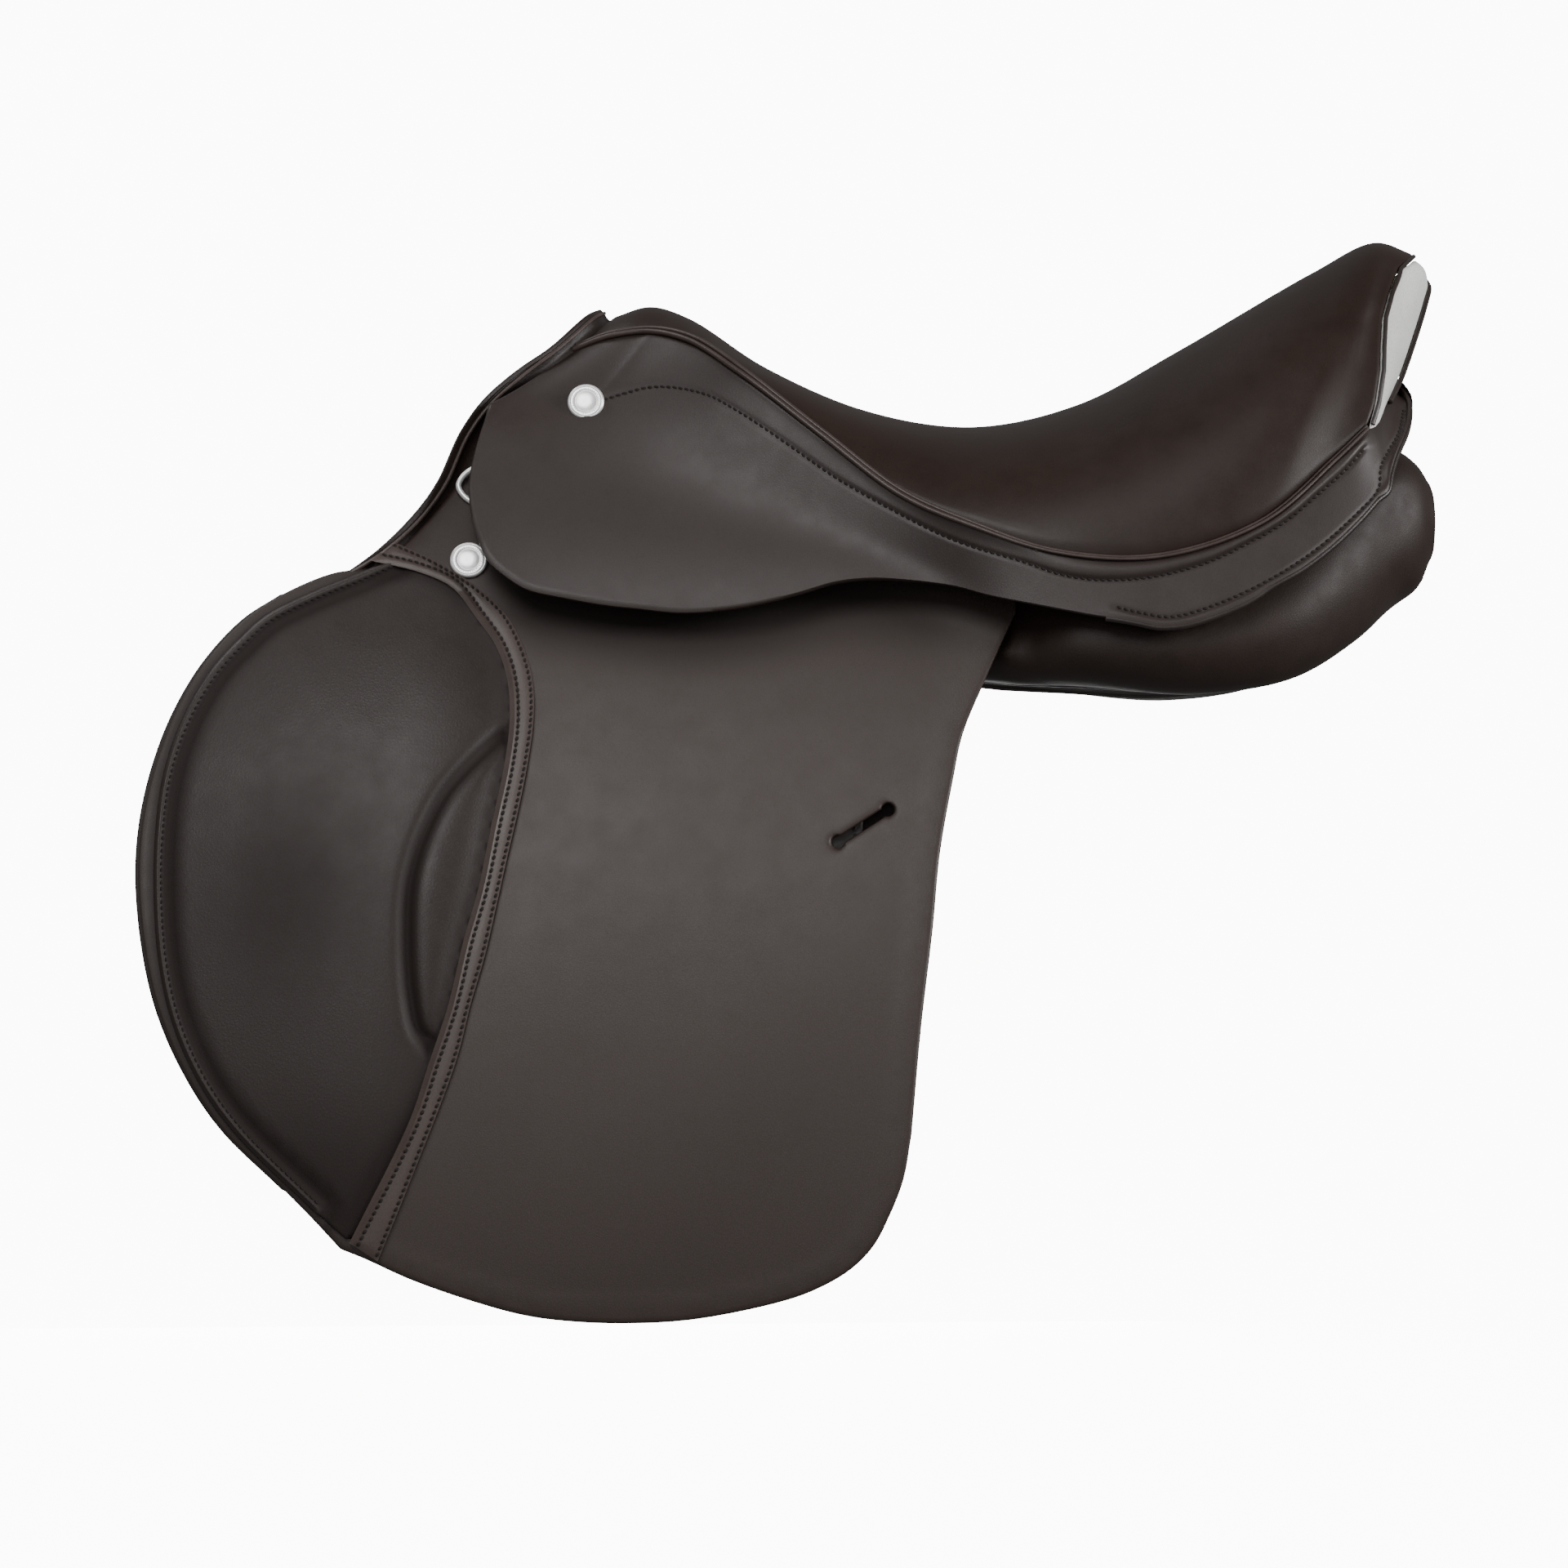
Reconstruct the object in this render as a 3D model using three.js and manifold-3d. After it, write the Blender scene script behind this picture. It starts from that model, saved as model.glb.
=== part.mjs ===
// An english general-purpose riding saddle, built as its separate pieces.
// Millimetres. +X runs to the rear (pommel at -X, cantle at +X), -Y is the near (left) side, +Z is up.
// The origin is on the centre plane, on the horse's spine below the lowest part of the seat.
import * as THREE from "three";
import { mergeVertices } from "three/addons/utils/BufferGeometryUtils.js";
import Module from "manifold-3d";

const wasm = await Module();
wasm.setup();

// ---- Driving sizes ----
const SEAT_LENGTH = 434; // front nail to the middle of the cantle: a 17 inch seat
const DRAWN_SEAT_LENGTH = 434; // the seat length at which the outlines below are drawn
const FLAP_DROP = 326; // from the horse's spine down to the bottom of the flap
const DRAWN_FLAP_DROP = 326;
const TREE_WIDENING = 0; // extra half-width of the tree over the medium fitting drawn here

const FLAP_LEATHER = 4.5;
const SWEAT_LEATHER = 3;
const SKIRT_LEATHER = 3.5;
const COVER_LEATHER = 2;
const STRAP_LEATHER = 3;
const STRAP_WIDTH = 25;
const BILLET_SHORTFALL = 40; // the girth straps end this far above the bottom of the flap
const GUARD_LENGTH = 62;
const GUARD_WIDTH = 118;
const KNEE_PAD_DEPTH = 8;
const STRIP_LEATHER = 2.4;
const WELT_RADIUS = 1.5;
const NAIL_RADIUS = 9.5;
const NAIL_DOME = 3;
const SHANK_RADIUS = 1.6;
const BAR_THICKNESS = 5.5;
const BAR_HEIGHT = 10;
const BAR_PLATE = 3;
const LEATHER_SPACE = 7.4; // room behind the stirrup bar for the stirrup leather
const BAR_LENGTH = 108;
const CATCH_LENGTH = 24;
const DEE_WIRE = 1.15;
const DEE_HEIGHT = 25;
const DEE_REACH = 21;
const SLOT_RADIUS = 3;
const SLOT_WIDTH = 4;
const GAP = 0.4; // between pieces that lie on each other
const PLY_GAP = 1; // between layers that slide or lift apart
const CUT_GAP = 2; // at the folds of the flap and the skirt

// ---- The size mapping: every outline and path passes through it ----
const lengthwise = (x) => (x * SEAT_LENGTH) / DRAWN_SEAT_LENGTH;
const heightwise = (z) => (z < 0 ? (z * FLAP_DROP) / DRAWN_FLAP_DROP : z);
const drawn = (z) => (z < 0 ? (z * DRAWN_FLAP_DROP) / FLAP_DROP : z);

// ---- Half-width profiles, as [height, half-width] ----
// The flap hangs straight over the tree points, then follows a large arc down the horse's side.
const ARC_RADIUS = 626;
const ARC_TOP = -20;
const ARC_LEVEL = -300; // the height of the arc's centre, where the flap is widest
const ARC_CENTRE = 140 - Math.sqrt(ARC_RADIUS ** 2 - (ARC_TOP - ARC_LEVEL) ** 2);
const ARC_STEP = 35;
const onArc = (z) => ARC_CENTRE + Math.sqrt(ARC_RADIUS ** 2 - (z - ARC_LEVEL) ** 2);
const FLAP_PROFILE = [
  [200, 7], [137, 48], [50, 105],
  ...Array.from({ length: 10 }, (_, i) => ARC_TOP - i * ARC_STEP).map((z) => [z, onArc(z)]),
];
const BAR_SPACE = BAR_PLATE + LEATHER_SPACE + BAR_THICKNESS + 3 * PLY_GAP + GAP;
const SKIRT_STANDOFF = BAR_SPACE + SKIRT_LEATHER;

function alongProfile(profile, height) {
  const last = profile.length - 2;
  let i = profile.findIndex(([z], n) => n > 0 && height >= z) - 1;
  if (i < 0) i = height >= profile[0][0] ? 0 : last;
  const [z0, w0] = profile[i];
  const [z1, w1] = profile[i + 1];
  return w0 + ((height - z0) * (w1 - w0)) / (z1 - z0);
}

// The flap's outer face: how far it stands from the centre plane at a height.
const flapFace = (z) => alongProfile(FLAP_PROFILE, drawn(z)) + TREE_WIDENING;
// The skirt curves in again towards its lower edge.
const SKIRT_TUCK_FROM = 50;
const SKIRT_TUCK = 0.14;
const skirtFace = (z) =>
  flapFace(z) + SKIRT_STANDOFF - Math.max(0, SKIRT_TUCK_FROM - z) * SKIRT_TUCK;

// ---- Solids ----
function toGeometry(positions, index) {
  const g = new THREE.BufferGeometry();
  g.setAttribute("position", new THREE.Float32BufferAttribute(positions, 3));
  if (index) g.setIndex(index);
  return g;
}

function toSolid(geometry) {
  const bare = geometry.clone();
  bare.deleteAttribute("normal");
  bare.deleteAttribute("uv");
  const merged = mergeVertices(bare, 1e-3);
  return new wasm.Manifold(
    new wasm.Mesh({
      numProp: 3,
      vertProperties: new Float32Array(merged.attributes.position.array),
      triVerts: new Uint32Array(merged.index.array),
    }),
  );
}

function fromSolid(solid) {
  const mesh = solid.getMesh();
  return toGeometry(mesh.vertProperties, Array.from(mesh.triVerts));
}

// A closed sheet between two grids of points: front and back, each rows of equal length.
function closedSheet(front, back) {
  const rows = front.length;
  const cols = front[0].length;
  const positions = [...front.flat(), ...back.flat()].flatMap((p) => [p.x, p.y, p.z]);
  const at = (layer, r, c) => layer * rows * cols + r * cols + c;
  const index = [];
  const quad = (a, b, c, d) => index.push(a, b, c, a, c, d);
  for (let r = 0; r < rows - 1; r++)
    for (let c = 0; c < cols - 1; c++) {
      quad(at(0, r, c), at(0, r + 1, c), at(0, r + 1, c + 1), at(0, r, c + 1));
      quad(at(1, r, c), at(1, r, c + 1), at(1, r + 1, c + 1), at(1, r + 1, c));
    }
  for (let r = 0; r < rows - 1; r++) {
    quad(at(0, r, 0), at(1, r, 0), at(1, r + 1, 0), at(0, r + 1, 0));
    quad(at(0, r + 1, cols - 1), at(1, r + 1, cols - 1), at(1, r, cols - 1), at(0, r, cols - 1));
  }
  for (let c = 0; c < cols - 1; c++) {
    quad(at(0, 0, c + 1), at(1, 0, c + 1), at(1, 0, c), at(0, 0, c));
    quad(at(0, rows - 1, c), at(1, rows - 1, c), at(1, rows - 1, c + 1), at(0, rows - 1, c + 1));
  }
  return facingOut(toGeometry(positions, index));
}

// Turns a closed mesh's faces outwards, whichever way its grids were listed.
function facingOut(geometry) {
  const p = geometry.attributes.position;
  const index = geometry.index.array;
  const [a, b, c] = [new THREE.Vector3(), new THREE.Vector3(), new THREE.Vector3()];
  let volume = 0;
  for (let i = 0; i < index.length; i += 3) {
    a.fromBufferAttribute(p, index[i]);
    b.fromBufferAttribute(p, index[i + 1]);
    c.fromBufferAttribute(p, index[i + 2]);
    volume += a.dot(b.cross(c));
  }
  if (volume < 0)
    for (let i = 0; i < index.length; i += 3)
      [index[i + 1], index[i + 2]] = [index[i + 2], index[i + 1]];
  return geometry;
}

// A loft through closed rings of points, capped at both ends.
function loft(rings) {
  const n = rings[0].length;
  const centre = (ring) =>
    ring.reduce((sum, p) => sum.add(p), new THREE.Vector3()).divideScalar(n);
  const positions = [...rings.flat(), centre(rings[0]), centre(rings.at(-1))].flatMap((p) => [
    p.x, p.y, p.z,
  ]);
  const index = [];
  rings.slice(1).forEach((_, r) => {
    for (let i = 0; i < n; i++) {
      const j = (i + 1) % n;
      index.push(r * n + i, (r + 1) * n + j, r * n + j);
      index.push(r * n + i, (r + 1) * n + i, (r + 1) * n + j);
    }
  });
  const first = rings.length * n;
  const end = (rings.length - 1) * n;
  for (let i = 0; i < n; i++) {
    const j = (i + 1) % n;
    index.push(first, i, j);
    index.push(first + 1, end + j, end + i);
  }
  return facingOut(toGeometry(positions, index));
}

const v3 = (x, y, z) => new THREE.Vector3(x, y, z);

// ---- Side pieces lie in plies on the flap's face ----
const PLY_LEVELS = FLAP_PROFILE.map(([z]) => z);
const WHOLE_WIDTH = 900; // one cell across: the face only bends with height

// A ply: the solid between two offsets from a face, over a plan outline drawn as [x, z].
function ply(outline, from, to, face = flapFace, cell = WHOLE_WIDTH) {
  const xs = outline.map(([x]) => x);
  const zs = outline.map(([, z]) => z);
  const columns = [];
  for (let x = Math.floor(Math.min(...xs) / cell) * cell; ; x += cell) {
    columns.push(x);
    if (x > Math.max(...xs)) break;
  }
  const levels = PLY_LEVELS.map(heightwise).sort((a, b) => a - b);
  const low = levels.findLastIndex((z) => z < Math.min(...zs));
  const high = levels.findIndex((z) => z > Math.max(...zs));
  const rows = levels.slice(Math.max(low, 0), (high < 0 ? levels.length : high) + 1);
  const offset = (o, x, z) => (typeof o === "function" ? o(x, z) : o);
  const grid = (o) => rows.map((z) => columns.map((x) => v3(x, face(z) + offset(o, x, z), z)));
  return toSolid(closedSheet(grid(to), grid(from))).intersect(prism(outline));
}

// The prism over a plan outline, wide enough to pass through one side of the saddle.
const PRISM_DEPTH = 400;
function prism(outline) {
  const shape = new THREE.Shape(outline.map(([x, z]) => new THREE.Vector2(x, z)));
  const g = new THREE.ExtrudeGeometry(shape, { depth: PRISM_DEPTH, bevelEnabled: false });
  g.rotateX(Math.PI / 2);
  g.translate(0, PRISM_DEPTH, 0);
  return toSolid(g);
}

// Outline stretches are drawn through a few points, smooth within a stretch.
function smooth(points, pieces) {
  const curve = new THREE.SplineCurve(
    points.map(([x, z]) => new THREE.Vector2(lengthwise(x), heightwise(z))),
  );
  return curve.getPoints(pieces).map((p) => [p.x, p.y]);
}
const corner = (x, z) => [[lengthwise(x), heightwise(z)]];

function roundedBar(x0, x1, z0, z1, radius) {
  const steps = 3;
  const centres = [
    [x1 - radius, z1 - radius, 0],
    [x0 + radius, z1 - radius, 1],
    [x0 + radius, z0 + radius, 2],
    [x1 - radius, z0 + radius, 3],
  ];
  return centres.flatMap(([cx, cz, quarter]) =>
    Array.from({ length: steps + 1 }, (_, i) => {
      const a = ((quarter + i / steps) * Math.PI) / 2;
      return [cx + radius * Math.cos(a), cz + radius * Math.sin(a)];
    }),
  );
}

// ---- The two folds, as straight lines on the faces ----
const FLAP_FOLD = [corner(-305, 43)[0], corner(25, -13)[0]];
const SKIRT_FOLD = [corner(-241, 137)[0], corner(-20, 50)[0]];
const FAR = 900;

// Everything below (or above) a fold line, as a plan outline.
function halfPlane([[x0, z0], [x1, z1]], up, gap) {
  const slope = (z1 - z0) / (x1 - x0);
  const z = (x) => z0 + (x - x0) * slope + (up ? gap / 2 : -gap / 2);
  const end = up ? FAR : -FAR;
  const line = [[-FAR, z(-FAR)], [FAR, z(FAR)]];
  return prism([...line, [FAR, z(FAR) + end], [-FAR, z(-FAR) + end]]);
}

// ---- Flap outlines ----
const FRONT_STRETCH = [
  [-308, 50], [-348, 37], [-386, 2], [-409, -51], [-415, -105], [-403, -172], [-370, -231],
  [-339, -261],
];
const FRONT_LAP = 3; // the sweat flap shows this far in front of the flap
const insetFront = FRONT_STRETCH.map(([x, z]) => [x + FRONT_LAP, z]);
const BOTTOM_STRETCH = [
  [-307, -290], [-247, -314], [-166, -326], [-94, -316], [-58, -302], [-38, -273], [-27, -233],
];
const REAR_STRETCH = [[-27, -233], [-16, -132], [-5, -57], [11, -9], [28, 27]];
const FLAP_TOP = corner(28, 50).concat(corner(-196, 126), corner(-208, 140));
const FRONT_RISE = [[-216, 140], [-240, 118], [-254, 92], [-270, 70], [-287, 54], [-299, 48]];

function flapOutline() {
  return [
    ...FLAP_TOP,
    ...smooth(FRONT_RISE, 6),
    ...smooth(insetFront, 16),
    ...smooth([[-323, -274], [-309, -289]], 2),
    ...smooth(BOTTOM_STRETCH, 14),
    ...smooth(REAR_STRETCH, 8).slice(1),
  ];
}

function sweatOutline() {
  return [
    ...corner(5, 18),
    ...corner(-288, 32),
    ...corner(-318, 42),
    ...smooth(FRONT_STRETCH.slice(1), 14),
    ...smooth([[-300, -278], [-250, -296], [-166, -306], [-100, -298], [-62, -270], [-48, -228]], 10),
    ...smooth([[-48, -228], [-34, -130], [-14, -40], [5, 18]], 6).slice(1, -1),
  ];
}

const STRIP_LEFT = [
  [-291, 46], [-262, 32], [-242, 12], [-229, -14], [-230, -49], [-242, -112], [-256, -169],
  [-275, -227], [-304, -284],
];
const STRIP_RIGHT = [
  [-296, -290], [-275, -248], [-254, -197], [-240, -144], [-230, -97], [-220, -46], [-218, -26],
  [-223, 9], [-237, 27], [-256, 41], [-288, 56],
];

// ---- Plies, outward from the horse ----
const FLAP_INNER = -FLAP_LEATHER;
const GUARD_OUTER = FLAP_INNER - PLY_GAP;
const GUARD_INNER = GUARD_OUTER - STRAP_LEATHER;
const BILLET_OUTER = GUARD_INNER - PLY_GAP;
const BILLET_INNER = BILLET_OUTER - STRAP_LEATHER;
const SWEAT_OUTER = BILLET_INNER - PLY_GAP;
const SWEAT_INNER = SWEAT_OUTER - SWEAT_LEATHER;
const PANEL_LIMIT = SWEAT_INNER - PLY_GAP;

const SLOT_ENDS = [corner(-63, -89)[0], corner(-38, -73)[0]];

// A dumb-bell slot: two round ends joined by a narrow cut.
function keeperSlot() {
  const [[x0, z0], [x1, z1]] = SLOT_ENDS;
  const ring = ([cx, cz]) =>
    Array.from({ length: 10 }, (_, i) => {
      const a = (i * Math.PI) / 5;
      return [cx + SLOT_RADIUS * Math.cos(a), cz + SLOT_RADIUS * Math.sin(a)];
    });
  const length = Math.hypot(x1 - x0, z1 - z0);
  const nx = (-(z1 - z0) / length) * (SLOT_WIDTH / 2);
  const nz = ((x1 - x0) / length) * (SLOT_WIDTH / 2);
  const cut = [[x0 + nx, z0 + nz], [x0 - nx, z0 - nz], [x1 - nx, z1 - nz], [x1 + nx, z1 + nz]];
  return prism(ring(SLOT_ENDS[0])).add(prism(ring(SLOT_ENDS[1]))).add(prism(cut));
}

// A frame on a face: its local Z is the face's outward normal.
function facePose(x, z, face, offset) {
  const step = 4;
  const rise = (face(z + step) - face(z - step)) / (2 * step);
  const normal = v3(0, 1, -rise).normalize();
  const origin = v3(x, face(z), z).addScaledVector(normal, offset);
  const turn = new THREE.Quaternion().setFromUnitVectors(v3(0, 0, 1), normal);
  return new THREE.Matrix4().compose(origin, turn, v3(1, 1, 1));
}

const NAIL_UPPER = corner(-192, 137)[0];
const NAIL_LOWER = corner(-251, 53)[0];
const SHANK_LENGTH = 12;
const ROUND = 20;

function nail() {
  const head = new THREE.LatheGeometry(
    [
      new THREE.Vector2(0, NAIL_DOME),
      new THREE.Vector2(NAIL_RADIUS * 0.78, NAIL_DOME * 0.9),
      new THREE.Vector2(NAIL_RADIUS * 0.93, NAIL_DOME * 0.6),
      new THREE.Vector2(NAIL_RADIUS, 0),
      new THREE.Vector2(SHANK_RADIUS, 0),
      new THREE.Vector2(SHANK_RADIUS, -SHANK_LENGTH),
      new THREE.Vector2(0, -SHANK_LENGTH),
    ],
    ROUND,
  );
  head.rotateX(Math.PI / 2);
  return facingOut(mergeVertices(stripped(head), 1e-3));
}

function stripped(geometry) {
  geometry.deleteAttribute("normal");
  geometry.deleteAttribute("uv");
  return geometry;
}

const placed = (geometry, matrix) => geometry.clone().applyMatrix4(matrix);

function shankHole(pose) {
  const drill = new THREE.CylinderGeometry(SHANK_RADIUS + GAP, SHANK_RADIUS + GAP, 60, 12);
  drill.rotateX(Math.PI / 2);
  return toSolid(facingOut(stripped(placed(drill, pose))));
}

// ---- Stirrup bar: a riveted plate, a bar standing off it, and a catch at the open rear end ----
const BAR_START = corner(-196, 72)[0];
const RIVET_FRONT = 16; // along the bar from its front end
const RIVET_REAR = 96;
const PLATE_HEIGHT = 19;
const PLATE_TAIL = 28; // the plate runs this far past the bar's open end, to carry the catch
const barPoint = (along) => [BAR_START[0] + along, BAR_START[1]];
const PLATE_FACE = GAP + BAR_PLATE;
const BAR_FACE = PLATE_FACE + LEATHER_SPACE;

function barOutline(from, to, height) {
  const [x0] = barPoint(from);
  const [x1] = barPoint(to);
  const z = barPoint(from)[1];
  return roundedBar(x0, x1, z - height / 2, z + height / 2, height / 3);
}

function stirrupBar() {
  const plate = ply(barOutline(-4, BAR_LENGTH + PLATE_TAIL, PLATE_HEIGHT), GAP, PLATE_FACE);
  const root = ply(barOutline(-4, 8, BAR_HEIGHT), GAP, BAR_FACE + BAR_THICKNESS);
  const bar = ply(barOutline(-4, BAR_LENGTH, BAR_HEIGHT), BAR_FACE, BAR_FACE + BAR_THICKNESS);
  const holes = [RIVET_FRONT, RIVET_REAR].map((r) => {
    const hole = new THREE.CylinderGeometry(SHANK_RADIUS + GAP, SHANK_RADIUS + GAP, 3 * BAR_PLATE, 12);
    hole.rotateX(Math.PI / 2);
    return toSolid(facingOut(stripped(placed(hole, facePose(...barPoint(r), flapFace, GAP)))));
  });
  return fromSolid(plate.add(root).add(bar).subtract(holes[0]).subtract(holes[1]));
}

const CATCH_PIVOT = BAR_LENGTH + 22;
function barCatch() {
  const outline = barOutline(CATCH_PIVOT + 4 - CATCH_LENGTH, CATCH_PIVOT + 4, BAR_HEIGHT - 3);
  return fromSolid(ply(outline, PLATE_FACE + GAP, BAR_FACE + BAR_THICKNESS));
}

const RIVET_HEAD = 4.2;
function rivet() {
  const body = new THREE.LatheGeometry(
    [
      new THREE.Vector2(0, 1.6),
      new THREE.Vector2(RIVET_HEAD * 0.7, 1.2),
      new THREE.Vector2(RIVET_HEAD, 0),
      new THREE.Vector2(SHANK_RADIUS, 0),
      new THREE.Vector2(SHANK_RADIUS, -BAR_PLATE - FLAP_LEATHER - 1),
      new THREE.Vector2(0, -BAR_PLATE - FLAP_LEATHER - 1),
    ],
    12,
  );
  body.rotateX(Math.PI / 2);
  return facingOut(mergeVertices(stripped(body), 1e-3));
}
const rivetAt = (along) => placed(rivet(), facePose(...barPoint(along), flapFace, PLATE_FACE + GAP));

// ---- Dee and its chape ----
const DEE_BAR = corner(-237, 92)[0];
const DEE_OFFSET = GAP + 1.6 + DEE_WIRE;
const CHAPE_WIDTH = 13;
const CHAPE_LENGTH = 27;

// A round wire along a closed loop drawn in the local XY plane.
function closedWire(loop, radius, sides) {
  const n = loop.length;
  const positions = [];
  const index = [];
  loop.forEach((p, i) => {
    const along = loop[(i + 1) % n].clone().sub(loop[(i + n - 1) % n]).normalize();
    for (let k = 0; k < sides; k++) {
      const a = (2 * Math.PI * k) / sides;
      const side = radius * Math.cos(a);
      positions.push(p.x + along.y * side, p.y - along.x * side, radius * Math.sin(a));
      const next = ((i + 1) % n) * sides;
      const j = (k + 1) % sides;
      index.push(i * sides + k, next + j, i * sides + j);
      index.push(i * sides + k, next + k, next + j);
    }
  });
  return facingOut(toGeometry(positions, index));
}

function dee() {
  const h = DEE_HEIGHT / 2;
  const bow = [[0, -h + 2], [0, 0], [0, h - 2], [-2, h], [-6, h], [-14, h * 0.68], [-19, h * 0.34],
    [-DEE_REACH, 0], [-19, -h * 0.34], [-14, -h * 0.68], [-6, -h], [-2, -h]];
  const loop = bow.map(([x, y]) => new THREE.Vector2(x, y));
  return placed(closedWire(loop, DEE_WIRE, 8), facePose(...DEE_BAR, flapFace, DEE_OFFSET));
}

function deeChape() {
  const [x, z] = DEE_BAR;
  const front = x - DEE_WIRE - GAP - 1.8;
  const outline = roundedBar(front, front + CHAPE_LENGTH, z - CHAPE_WIDTH / 2, z + CHAPE_WIDTH / 2, 3);
  const loop = ply(outline, GAP, DEE_OFFSET + DEE_WIRE + 1.6);
  const bore = new THREE.CylinderGeometry(DEE_WIRE + GAP, DEE_WIRE + GAP, 2 * DEE_HEIGHT, 12);
  const pose = facePose(x, z, flapFace, DEE_OFFSET);
  return fromSolid(loop.subtract(toSolid(facingOut(stripped(placed(bore, pose))))));
}

// ---- The flap and what is sewn to it ----
function flapParts() {
  const whole = ply(flapOutline(), FLAP_INNER, 0);
  const moving = whole.intersect(halfPlane(FLAP_FOLD, false, CUT_GAP)).subtract(keeperSlot());
  const fixed = whole
    .intersect(halfPlane(FLAP_FOLD, true, CUT_GAP))
    .subtract(shankHole(facePose(...NAIL_LOWER, flapFace, 0)))
    .subtract(shankHole(facePose(...barPoint(RIVET_FRONT), flapFace, 0)))
    .subtract(shankHole(facePose(...barPoint(RIVET_REAR), flapFace, 0)));
  return { moving: fromSolid(moving), fixed: fromSolid(fixed) };
}

const PAD_FRONT = [
  [-330, 32], [-358, 14], [-384, -16], [-399, -62], [-402, -110], [-391, -172], [-360, -226],
  [-318, -264],
];
const PAD_EDGE = [
  [-308, -276], [-279, -227], [-260, -169], [-246, -112], [-234, -49], [-233, -14], [-244, 10],
  [-262, 28],
];

const PAD_CELL = 30;
const PAD_MIDDLE = [-318, -118];
const PAD_HALF_LENGTH = 92;
const PAD_HALF_HEIGHT = 150;
const PAD_EDGE_HEIGHT = 1.5; // the pad's thickness at its outline
const PAD_ROUNDING = 0.8; // how fast the crown falls away from the pad's middle
const PAD_LEAST_CROWN = 0.15; // the share of the crown left at the top and the bottom

function kneePad() {
  const outline = [...smooth(PAD_FRONT, 12), ...smooth(PAD_EDGE, 12)];
  const middle = corner(...PAD_MIDDLE)[0];
  const half = [lengthwise(PAD_HALF_LENGTH), heightwise(-PAD_HALF_HEIGHT)];
  const crown = (x, z) => {
    const u = (x - middle[0]) / half[0];
    const w = (z - middle[1]) / half[1];
    const fore = Math.max(0, 1 - PAD_ROUNDING * u * u);
    const tall = Math.max(PAD_LEAST_CROWN, 1 - PAD_ROUNDING * w * w);
    return GAP + PAD_EDGE_HEIGHT + KNEE_PAD_DEPTH * fore * tall;
  };
  const pad = ply(outline, GAP, crown, flapFace, PAD_CELL);
  return fromSolid(pad.intersect(halfPlane(FLAP_FOLD, false, CUT_GAP)));
}

function kneeStrip() {
  const outline = [...smooth(STRIP_LEFT, 18), ...smooth(STRIP_RIGHT, 18)];
  const strip = ply(outline, GAP, GAP + STRIP_LEATHER);
  return fromSolid(strip.intersect(halfPlane(FLAP_FOLD, false, CUT_GAP)));
}

function kneeBlock() {
  const outline = smooth(
    [[-234, -40], [-252, -54], [-272, -88], [-277, -140], [-270, -184], [-256, -180], [-243, -120],
      [-232, -60], [-234, -40]], 16,
  ).slice(0, -1);
  return fromSolid(ply(outline, SWEAT_OUTER + PLY_GAP, FLAP_INNER - GAP));
}

// ---- Girth straps, guard and sweat flap ----
const BILLET_SPACING = 38;
const BILLET_FRONT = -160;
const BILLET_TOP = 2;
const BILLET_HOLE = 2;
const BILLET_HOLES = 4;

function billet(i) {
  const x0 = lengthwise(BILLET_FRONT) + i * BILLET_SPACING;
  const z1 = BILLET_TOP;
  const length = BILLET_TOP + FLAP_DROP - BILLET_SHORTFALL;
  const outline = roundedBar(x0, x0 + STRAP_WIDTH, z1 - length, z1, STRAP_WIDTH / 5);
  let strap = ply(outline, BILLET_INNER, BILLET_OUTER);
  for (let n = 0; n < BILLET_HOLES; n++) {
    const z = z1 - length + STRAP_WIDTH * (1.2 + n);
    const hole = Array.from({ length: 8 }, (_, k) => {
      const a = (k * Math.PI) / 4;
      return [x0 + STRAP_WIDTH / 2 + BILLET_HOLE * Math.cos(a), z + BILLET_HOLE * Math.sin(a)];
    });
    strap = strap.subtract(prism(hole));
  }
  return fromSolid(strap);
}

const GUARD_TOP = -40;
function buckleGuard() {
  const x0 = lengthwise(BILLET_FRONT) - (GUARD_WIDTH - 2 * BILLET_SPACING - STRAP_WIDTH) / 2;
  const outline = roundedBar(x0, x0 + GUARD_WIDTH, GUARD_TOP - GUARD_LENGTH, GUARD_TOP, 9);
  return fromSolid(ply(outline, GUARD_INNER, GUARD_OUTER));
}

function sweatFlap() {
  return fromSolid(ply(sweatOutline(), SWEAT_INNER, SWEAT_OUTER));
}

// ---- Skirt ----
const SKIRT_LOWER = [
  [-241, 137], [-251, 99], [-248, 72], [-230, 45], [-203, 35], [-163, 29], [-123, 28], [-84, 36],
  [-47, 44], [-20, 42],
];
function skirtLobe() {
  const outline = [...smooth(SKIRT_LOWER, 22), ...corner(-20, 50)];
  const lobe = ply(outline, -SKIRT_LEATHER, 0, skirtFace);
  return fromSolid(lobe.intersect(halfPlane(SKIRT_FOLD, false, CUT_GAP)));
}

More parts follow.
